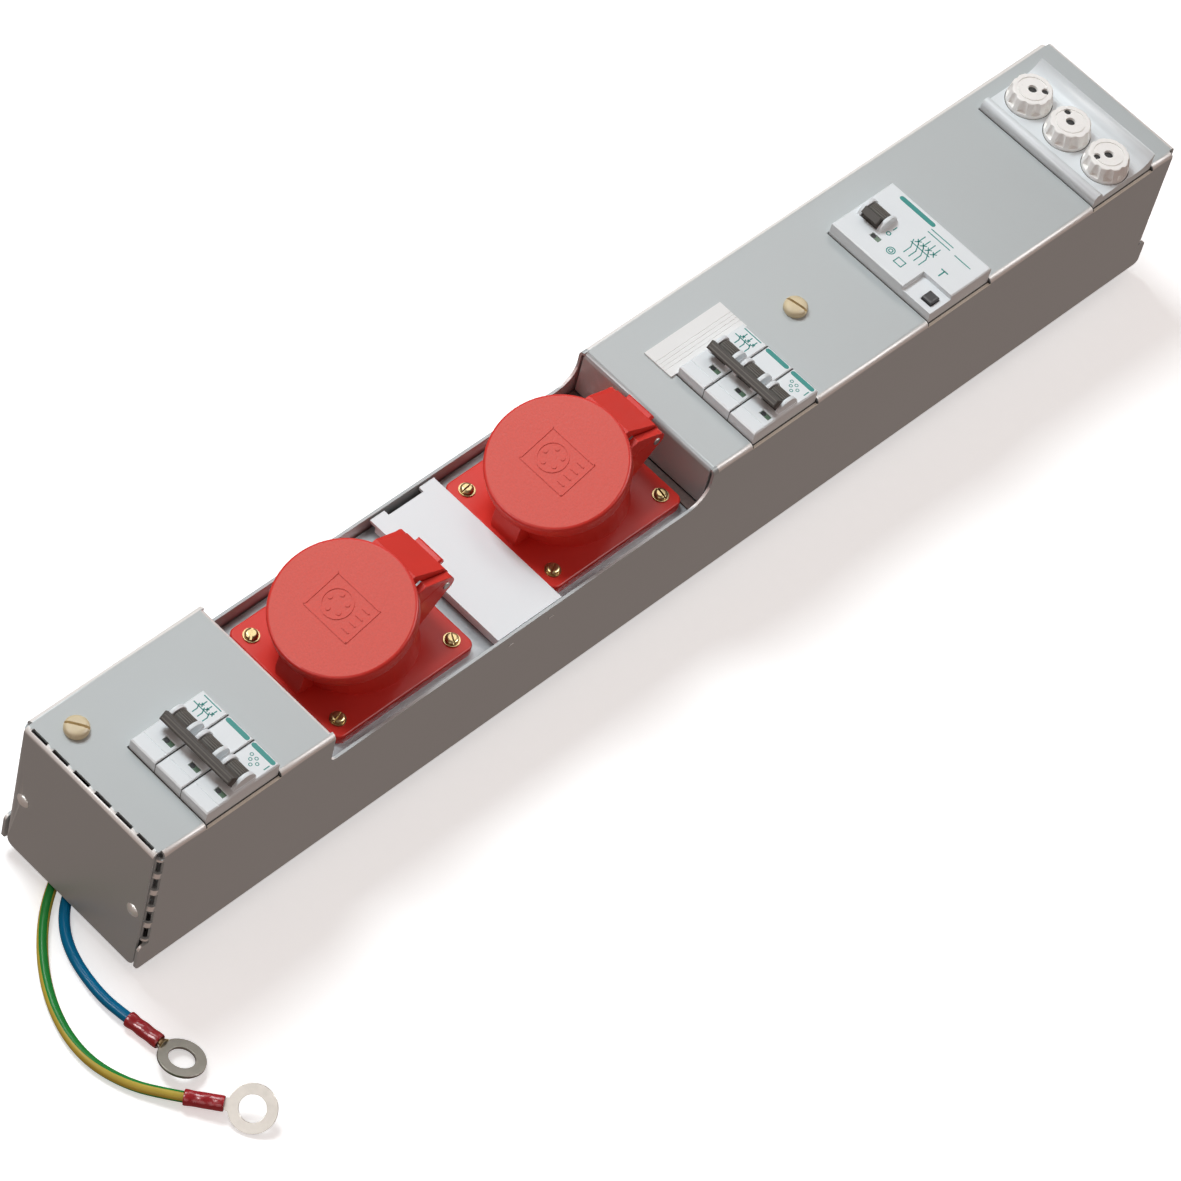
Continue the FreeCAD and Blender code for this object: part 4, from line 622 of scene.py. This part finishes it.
def lead_sleeve(name, places, twist):
    """Insulating sleeve of a lug, pinched twice where it was crimped."""
    mouth, ahead, across, over = lead_end(places)
    turned = Quaternion(ahead, twist)
    wide = turned @ across
    thick = turned @ over
    rings = []
    for share, size, pinched in SLEEVE_STATIONS:
        radius = SLEEVE_R * size
        high = radius * (SLEEVE_PINCH if pinched else 1.0)
        rings.append(oval(mouth + ahead * SLEEVE_LENGTH * share, wide * radius, thick * high, WIRE_SIDES))
    for share in (1.0, 0.0):
        middle = mouth + ahead * SLEEVE_LENGTH * share
        rings.append(oval(middle, wide * SLEEVE_BORE_R, thick * SLEEVE_BORE_R, WIRE_SIDES))
    rings.append(rings[0])
    shape = bmesh.new()
    join_rings(shape, rings, capped=False)
    bmesh.ops.remove_doubles(shape, verts=shape.verts, dist=WELD)
    sleeve = place_mesh(name + "_crimped_sleeve", shape, STRIP, "crimp_red")
    soft = sleeve.modifiers.new("soft", "SUBSURF")
    soft.levels = 1
    soft.render_levels = 1
    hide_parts(name + "_sleeve")
    return sleeve


def make_lead(name, route, twist, stripe, turns):
    """One supply lead: insulated wire that ends inside its sleeve and lug."""
    places = [Vector(point) * MM for point in route]
    mouth, ahead = lead_end(places)[:2]
    points = centre_line(places[:-1] + [mouth + ahead * WIRE_IN_SLEEVE])
    shape = bmesh.new()
    for row in join_rings(shape, wire_rings(points, turns)):
        for index, face in enumerate(row):
            face.material_index = int(stripe > 0 and index // stripe % 2 == 0)
    slot = name + "_insulation"
    wire = place_mesh(name + "_lead", shape, STRIP, slot, slot, "earth_stripe" if stripe else slot)
    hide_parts(name + "_wire")
    sleeve = lead_sleeve(name, places, twist)


def make_barrel_end():
    """Flared bright end of the neutral lug's barrel, where it comes out of its sleeve."""
    mouth, ahead, across, over = lead_end([Vector(point) * MM for point in NEUTRAL_ROUTE])
    start = mouth + ahead * SLEEVE_LENGTH
    rings = []
    for step, radius in BARREL_PROFILE:
        rings.append(oval(start + ahead * step * MM, across * radius * MM, over * radius * MM, WIRE_SIDES))
    shape = bmesh.new()
    join_rings(shape, rings, capped=False)
    place_mesh("neutral_barrel_end", shape, STRIP, "brass")


def stadium(first, second, width, steps):
    """Outline of a bar with round ends between two points of a plane."""
    start = Vector(first)
    end = Vector(second)
    along = (end - start).normalized()
    across = Vector((-along.y, along.x))
    points = []
    for centre, turn in ((end, -90), (start, 90)):
        for k in range(steps + 1):
            angle = math.radians(turn + 180 * k / steps)
            points.append(centre + (along * math.cos(angle) + across * math.sin(angle)) * width / 2)
    return points


def rectangle(half_x, half_y):
    """Corners of a rectangle round the origin of a plane."""
    return [(-half_x, -half_y), (half_x, -half_y), (half_x, half_y), (-half_x, half_y)]


def sides_of(corners):
    """The sides of a closed outline, as bars from corner to corner."""
    return zip(corners, corners[1:] + corners[:1])


def in_metres(bars):
    """Bars that are given in millimetres, in metres."""
    return [(Vector(first) * MM, Vector(second) * MM) for first, second in bars]


def raise_outline(shape, plane, outline, height):
    """A flat piece on a plane, from a little below its surface up to a height."""
    rings = [[plane @ Vector((point.x, point.y, level)) for point in outline] for level in (-PRINT, height)]
    join_rings(shape, rings)


def raise_bars(shape, plane, bars, width=STROKE, height=PRINT, steps=BAR_END_STEPS):
    """Bars with round ends, each between two points of a plane."""
    for first, second in bars:
        raise_outline(shape, plane, stadium(first, second, width, steps), height)


def add_ring(shape, plane, inside, outside, low, high, sides):
    """A ring round the origin of a plane, between two radii and two heights."""
    profile = ((inside, low), (outside, low), (outside, high), (inside, high), (inside, low))
    join_rings(shape, [[plane @ Vector((*point, level)) for point in disc(ORIGIN, size, sides)]
                       for size, level in profile], capped=False)


def raise_ring(shape, plane, centre, radius, width=STROKE, height=PRINT):
    """A flat ring on a plane, of a line's width."""
    moved = plane @ Matrix.Translation((*centre, 0))
    add_ring(shape, moved, radius - width / 2, radius + width / 2, -PRINT, height, RING_SIDES)


def raise_box(shape, low, high):
    """A box between two corners."""
    outline = [(low[0], low[1]), (high[0], low[1]), (high[0], high[1]), (low[0], high[1])]
    join_rings(shape, [[Vector((x, y, level)) for x, y in outline] for level in (low[2], high[2])])


def contact_sign(shape, plane, place, half):
    """Sign of a switched contact round a place given in millimetres."""
    middle = Vector(place) * MM
    raise_bars(shape, plane, [[middle + Vector(end) * half for end in bar] for bar in CONTACT_SIGN])


def toggle_ribs(name, axis, middles, width, body):
    """Fine grip ribs on the barrels of toggles, paler than the toggles as a painted highlight on their
    ridges.
    """
    shape = bmesh.new()
    half = width / 2 - RIB_MARGIN
    for middle in middles:
        for turn in RIB_TURNS:
            plane = (Matrix.Translation((axis.x, middle, axis.z))
                     @ Matrix.Rotation(math.radians(turn), 4, "Y")
                     @ Matrix.Translation((0, 0, TOGGLE_R)))
            raise_bars(shape, plane, [((0, -half), (0, half))], RIB_WIDTH, RIB_HEIGHT)
    place_mesh(name, shape, body, "dark_plastic", "grip_highlight")


def mask_windows(name, places):
    """Dark part of each indicator window, on its floor."""
    shape = bmesh.new()
    start, end = MASK_YS
    for place in places:
        raise_bars(shape, Matrix.Translation(place), [((0, start), (0, end))], WINDOW_WIDTH)
    place_mesh(name, shape, STRIP, "black_plastic")


def mark_breaker(name, centre):
    """Printed signs of a breaker."""
    shape = bmesh.new()
    near, middle, far = [Matrix.Translation((centre, y, BREAKER_FACE)) for y in POLE_MIDDLES]
    broad_bar = ((BREAKER_BAR_X, -BREAKER_BAR_HALF), (BREAKER_BAR_X, BREAKER_BAR_HALF))
    for pole in (near, middle):
        raise_bars(shape, pole, [broad_bar], BREAKER_BAR_WIDTH, steps=BROAD_BAR_STEPS)
    for y in BREAKER_SIGN_YS:
        contact_sign(shape, far, (BREAKER_SIGN_X, y), BREAKER_SIGN_HALF)
    raise_bars(shape, far, in_metres(BREAKER_LINKS))
    for place in BREAKER_RINGS:
        raise_ring(shape, near, Vector(place) * MM, BREAKER_RING_R, BREAKER_RING_WIDTH)
    raise_bars(shape, near, in_metres(BREAKER_DASHES))
    place_mesh(name, shape, STRIP, "green_plastic", "teal_print")


def line_tie_bar(name, axis, body):
    """Fine lines along the top of a breaker's tie bar, paler than the bar as a painted highlight."""
    shape = bmesh.new()
    top = (Matrix.Translation(axis) @ Matrix.Rotation(TOGGLE_LEAN, 4, "Y")
           @ Matrix.Translation((0, POLE_MIDDLES[1], TIE_BAR_TOP)))
    reach = TIE_BAR_LENGTH / 2 - TIE_LINE_MARGIN
    bars = [((x, -reach), (x, reach)) for x in TIE_LINE_XS]
    raise_bars(shape, top, bars, TIE_LINE_WIDTH, TIE_LINE_HEIGHT)
    place_mesh(name, shape, body, "dark_plastic", "grip_highlight")


def fill_pole_gaps_with_shade(name, centre):
    """Painted shade: dark blocks in the joints between the poles of a breaker, where shade falls."""
    shape = bmesh.new()
    for pole in range(1, POLES):
        middle = DEVICE_NEAR + MODULE * pole - POLE_GAP / 2
        raise_box(shape, (centre - POLE_GAP_SIDE, middle - POLE_GAP, SHADE_SEAL_LOW),
                  (centre + POLE_GAP_SIDE, middle + POLE_GAP, BREAKER_FACE - POLE_GAP_INSET))
    crisp(place_mesh(name, shape, STRIP, "black_plastic", "shade"), POLE_GAP_EDGE)


def dress_breaker(number, centre):
    """Printed signs, window masks, grip ribs with a painted highlight, and painted shade in the joints of one
    breaker.
    """
    name = "breaker_%d_" % number
    body = name + "toggles"
    axis = Vector((centre + TOGGLE_OFFSET, 0, BREAKER_FACE - TOGGLE_SUNK))
    floor = BREAKER_FACE - WINDOW_SUNK
    mark_breaker(name + "marks", centre)
    mask_windows(name + "masks", [(centre + WINDOW_OFFSET, WINDOW_SIDE + y, floor) for y in POLE_MIDDLES])
    toggle_ribs(name + "ribs", axis, POLE_MIDDLES, TOGGLE_WIDTH, body)
    line_tie_bar(name + "bar_lines", axis, body)
    fill_pole_gaps_with_shade(name + "pole_gap_shade", centre)


def dress_switch():
    """Printed signs, window mask and grip ribs of the residual-current switch; the ribs carry a painted
    highlight.
    """
    shape = bmesh.new()
    face = Matrix.Translation((SWITCH_X, 0, SWITCH_FACE))
    broad_bar = [(SWITCH_BAR_X, y) for y in SWITCH_BAR_YS]
    raise_bars(shape, face, [broad_bar], SWITCH_BAR_WIDTH, steps=BROAD_BAR_STEPS)
    for y in SWITCH_SIGN_YS:
        contact_sign(shape, face, (SWITCH_SIGN_X, y), SWITCH_SIGN_HALF)
    raise_bars(shape, face, in_metres(SWITCH_LINES))
    for x, y, radius in SWITCH_RINGS:
        raise_ring(shape, face, Vector((x, y)) * MM, radius * MM)
    raise_bars(shape, face @ Matrix.Translation(SWITCH_BOX_AT), sides_of(rectangle(*SWITCH_BOX_HALF)))
    raise_bars(shape, face, in_metres(TEST_LETTER), TEST_LETTER_STROKE)
    place_mesh("switch_marks", shape, STRIP, "green_plastic", "teal_print")
    mask_windows("switch_mask", [(*SWITCH_WINDOW, SWITCH_FACE - WINDOW_SUNK)])
    toggle_ribs("switch_ribs", SWITCH_TOGGLE, [SWITCH_TOGGLE.y], SWITCH_TOGGLE_WIDTH, "switch_toggle")


def slotted_screw(shape, place, turn, radius, height, slot, depth, shank_r, shank):
    """A domed slotted screw: round foot, two half domes with the slot between them, and the shank below."""
    floor = height - depth
    profile = ((shank_r, -shank), (shank_r, 0.0), (radius * SCREW_FOOT_SHARE, 0.0),
               (radius, height * SCREW_FOOT_RISE), (radius, floor))
    join_rings(shape, [[place + Vector((*point, level)) for point in disc(ORIGIN, size, SCREW_SIDES)]
                       for size, level in profile])
    for side in (0, 180):
        to_place = Matrix.Translation(place) @ Matrix.Rotation(math.radians(turn + side), 4, "Z")
        rings = []
        for share in DOME_SHARES:
            size = radius * (1 - share ** 2 * DOME_NARROWING)
            level = floor + depth * math.sin(share * math.pi / 2)
            edge = math.asin(slot / 2 / size)
            angles = [edge + (math.pi - 2 * edge) * k / SCREW_SIDES for k in range(SCREW_SIDES + 1)]
            rings.append([to_place @ Vector((size * math.cos(angle), size * math.sin(angle), level))
                          for angle in angles])
        join_rings(shape, rings)


def make_cover_screws():
    """Nylon screws that hold the cover."""
    shape = bmesh.new()
    for x, y, turn in NYLON_SCREWS:
        slotted_screw(shape, Vector((x, y, HOOD_TOP)), turn, **NYLON_SCREW)
    screws = crisp(place_mesh("nylon_screws", shape, STRIP, "nylon"), NYLON_EDGE)
    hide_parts("cover_screws")


def make_socket_screws(number, centre):
    """Brass screws of a socket's flange, each on a washer."""
    shape = bmesh.new()
    for (x, y), turn in zip(rectangle(FIXING_X, FIXING_Y), FIXING_TURNS[number - 1]):
        place = Vector((centre + x, y, FLANGE_TOP))
        raise_outline(shape, Matrix.Translation(place), disc(ORIGIN, WASHER_R, SCREW_SIDES), WASHER)
        slotted_screw(shape, place + UP * WASHER, turn, **BRASS_SCREW)
    screws = crisp(place_mesh("socket_%d_brass_screws" % number, shape, STRIP, "brass"), BRASS_EDGE)
    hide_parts("socket_%d_screws" % number)


def make_lid_face(number, plug):
    """Grained face of a socket's lid, with a raised frame, contact sign and dashes."""
    shape = bmesh.new()
    lid = plug @ Matrix.Translation((0, 0, LID_TOP))
    raise_outline(shape, lid, disc(ORIGIN, LID_GRAIN_R, LID_SIDES), LID_GRAIN)
    raise_bars(shape, lid, sides_of(rectangle(LID_FRAME[0] / 2, LID_FRAME[1] / 2)), LID_STROKE, LID_RAISED)
    raise_ring(shape, lid, LID_SIGN_AT, LID_SIGN_R, LID_STROKE, LID_RAISED)
    for index in range(LID_CONTACTS):
        angle = math.radians(90 + 360 / LID_CONTACTS * index)
        spot = LID_SIGN_AT + Vector((math.cos(angle), math.sin(angle))) * LID_CONTACTS_R
        raise_outline(shape, lid, disc(spot, LID_CONTACT_R, DOT_SIDES), LID_RAISED)
    raise_bars(shape, lid, in_metres(LID_DASHES), LID_DASH_WIDTH, LID_RAISED)
    place_mesh("socket_%d_lid_face" % number, shape, "socket_%d_lid" % number, "red_plastic", "lid_red")


def make_hinge_webs(number, plug):
    """Flat webs that fill the hinge brackets of a socket."""
    shape = bmesh.new()
    ear = EAR_R * EAR_DIAGONAL
    outline = ((WEB_ROOT, HINGE_W), (HINGE_U, HINGE_W), (HINGE_U + ear, HINGE_W + ear),
               (WEB_SHOULDER, WEB_TOP), (WEB_ROOT, WEB_TOP))
    for near, far in ((EAR_INSIDE, EAR_OUTSIDE), (-EAR_OUTSIDE, -EAR_INSIDE)):
        join_rings(shape, [[plug @ Vector((u, y, w)) for u, w in outline] for y in (near, far)])
    crisp(place_mesh("socket_%d_hinge_webs" % number, shape, STRIP, "red_plastic"), WEB_EDGE)


def dress_socket(number, centre):
    """Flange screws, lid face and hinge webs of one socket."""
    plug = Matrix.Translation((centre, 0, FLANGE_TOP)) @ Matrix.Rotation(SOCKET_TILT, 4, "Y")
    make_socket_screws(number, centre)
    make_lid_face(number, plug)
    make_hinge_webs(number, plug)


def side_shade_seal(shape, start, end, far):
    """A dark seal of painted shade beside a device, its near end rounded like the bend of the hood."""
    outline = [(inset - HOOD_HALF_WIDTH, HOOD_TOP - drop) for inset, drop in SHADE_SEAL_BEND]
    outline += [(far, HOOD_TOP - SHADE_SEAL_DROP), (far, SHADE_SEAL_LOW), (outline[0][0], SHADE_SEAL_LOW)]
    join_rings(shape, [[Vector((x, y, level)) for y, level in outline] for x in (start, end)])


def make_opening_seals():
    """Painted shade: dark seals round the devices and along the tray, and dark foam in the recess; and pale
    cut edges of the hood, partly painted light.
    """
    shade_seals = bmesh.new()
    lips = bmesh.new()
    for centre, far in DEVICE_OPENINGS:
        start = centre - NOSE / 2
        end = centre + NOSE / 2
        outside = far + OPENING_GAP_Y
        side_shade_seal(shade_seals, start - OPENING_GAP, start, outside)
        side_shade_seal(shade_seals, end, end + OPENING_GAP, outside)
        raise_box(shade_seals, (start, DEVICE_NEAR - OPENING_GAP_Y, SHADE_SEAL_LOW), (end, DEVICE_NEAR, SHADE_SEAL_TOP))
        raise_box(shade_seals, (start, far, SHADE_SEAL_LOW), (end, outside, HOOD_TOP - SHADE_SEAL_DROP))
        # Pale lips of painted light along the near cut edges
        raise_box(lips, (start - OPENING_GAP, -HOOD_HALF_WIDTH, LIP_LOW),
                  (end + OPENING_GAP, LIP_DEPTH - HOOD_HALF_WIDTH, LIP_TOP))
    raise_box(shade_seals, (-TRAY_SHADE_SEAL_X, TRAY_SHADE_SEAL_NEAR, TRAY_SHADE_SEAL_LOW),
              (TRAY_SHADE_SEAL_X, TRAY_SHADE_SEAL_FAR, TRAY_SHADE_SEAL_TOP))
    place_mesh("opening_shade_seals", shade_seals, STRIP, "rubber", "shade")
    shade_foam = bmesh.new()
    raise_box(shade_foam, (SHADE_FOAM_X[0], -SHADE_FOAM_HALF, SHADE_FOAM_LOW), (SHADE_FOAM_X[1], SHADE_FOAM_HALF, SHADE_FOAM_TOP))
    crisp(place_mesh("recess_shade_foam", shade_foam, STRIP, "rubber", "shade_foam"), SHADE_FOAM_EDGE)
    crisp(place_mesh("opening_lips_painted_light", lips, STRIP, "hood_paint", "bare_edge_and_painted_light"), LIP_EDGE)


def make_cap_shade_rings():
    """Painted shade: dark rings in the gaps between the fuse caps and their cover."""
    shape = bmesh.new()
    for y in FUSE_YS:
        middle = Matrix.Translation((FUSE_X, y, 0))
        add_ring(shape, middle, *CAP_SHADE_RING, CAP_SHADE_RING_LOW, CAP_SHADE_RING_TOP, CAP_SHADE_RING_SIDES)
    place_mesh("fuse_cover_shade_rings", shape, STRIP, "rubber", "shade")


def make_hole_shade():
    """Painted shade: dark discs deep in the sight hole and the probe hole of every fuse cap."""
    for number, (y, turn) in enumerate(zip(FUSE_YS, FUSE_TURNS), 1):
        shape = bmesh.new()
        probe = Matrix.Rotation(math.radians(turn), 3, "Z") @ Vector((PROBE_AT, 0, 0))
        for offset, (radius, depth) in ((Vector(), SIGHT_HOLE), (probe, PROBE_HOLE)):
            place = Vector((FUSE_X, y, FUSE_TOP - depth)) + offset
            raise_outline(shape, Matrix.Translation(place), disc(ORIGIN, radius, RING_SIDES), PRINT)
        place_mesh("fuse_cap_%d_holes" % number, shape, "fuse_cap_%d" % number, "black_plastic", "shade")


def make_wall_nibs():
    """Two pressed nibs on the near wall, between the sockets."""
    shape = bmesh.new()
    wall = Matrix.Translation((0, -HOOD_HALF_WIDTH, NIB_LEVEL)) @ Matrix.Rotation(math.radians(90), 4, "X")
    raise_bars(shape, wall, [((x - NIB_HALF, 0), (x + NIB_HALF, 0)) for x in NIB_XS], NIB_WIDTH, NIB_RAISED)
    crisp(place_mesh("wall_nibs", shape, STRIP, "hood_paint"), NIB_EDGE)


def make_floor():
    """Plain pale floor, far larger than the strip; it gives no light back, so the walls stay in shade."""
    shape = bmesh.new()
    bmesh.ops.create_grid(shape, x_segments=FLOOR_CELLS, y_segments=FLOOR_CELLS, size=FLOOR_HALF)
    mesh = bpy.data.meshes.new("floor")
    shape.to_mesh(mesh)
    shape.free()
    floor = bpy.data.objects.new("floor", mesh)
    floor.location.z = -FLOOR_DROP
    SCENE.collection.objects.link(floor)
    mesh.materials.append(surface("floor", *FLOOR_FINISH))
    floor.visible_diffuse = False
    floor.visible_glossy = False


def area_light(name, place, target, length, width, power, colour, lights_walls):
    """An oval soft box that faces a point, its length level with X."""
    data = bpy.data.lights.new(name, "AREA")
    data.shape = "ELLIPSE"
    data.size = length
    data.size_y = width
    data.energy = power
    data.color = colour
    light = bpy.data.objects.new(name, data)
    light.location = place
    back = (Vector(place) - Vector(target)).normalized()
    along = (Vector((1, 0, 0)) - back * back.x).normalized()
    light.rotation_mode = "QUATERNION"
    light.rotation_quaternion = Matrix((along, back.cross(along), back)).transposed().to_quaternion()
    light.visible_diffuse = lights_walls
    SCENE.collection.objects.link(light)


def make_light():
    """Soft light from above and behind, with cards to mirror and a dim warm room round them."""
    world = bpy.data.worlds.new("room")
    SCENE.world = world
    world.use_nodes = True
    room = world.node_tree.nodes["Background"]
    room.inputs["Color"].default_value = ROOM_COLOUR
    room.inputs["Strength"].default_value = ROOM_STRENGTH
    for row in LIGHTS:
        area_light(*row)
    SCENE.view_settings.view_transform = "Standard"


make_camera()
make_lead("earth", EARTH_ROUTE, EARTH_TWIST, EARTH_STRIPE, EARTH_TURNS)
make_lead("neutral", NEUTRAL_ROUTE, NEUTRAL_TWIST, NEUTRAL_STRIPE, NEUTRAL_TURNS)
make_barrel_end()
for number, centre in enumerate(BREAKER_XS, 1):
    dress_breaker(number, centre)
dress_switch()
for number, centre in enumerate(SOCKET_XS, 1):
    dress_socket(number, centre)
make_cover_screws()
make_opening_seals()
make_cap_shade_rings()
make_hole_shade()
make_wall_nibs()
dress_nodes()
soften_nodes()
make_floor()
make_light()
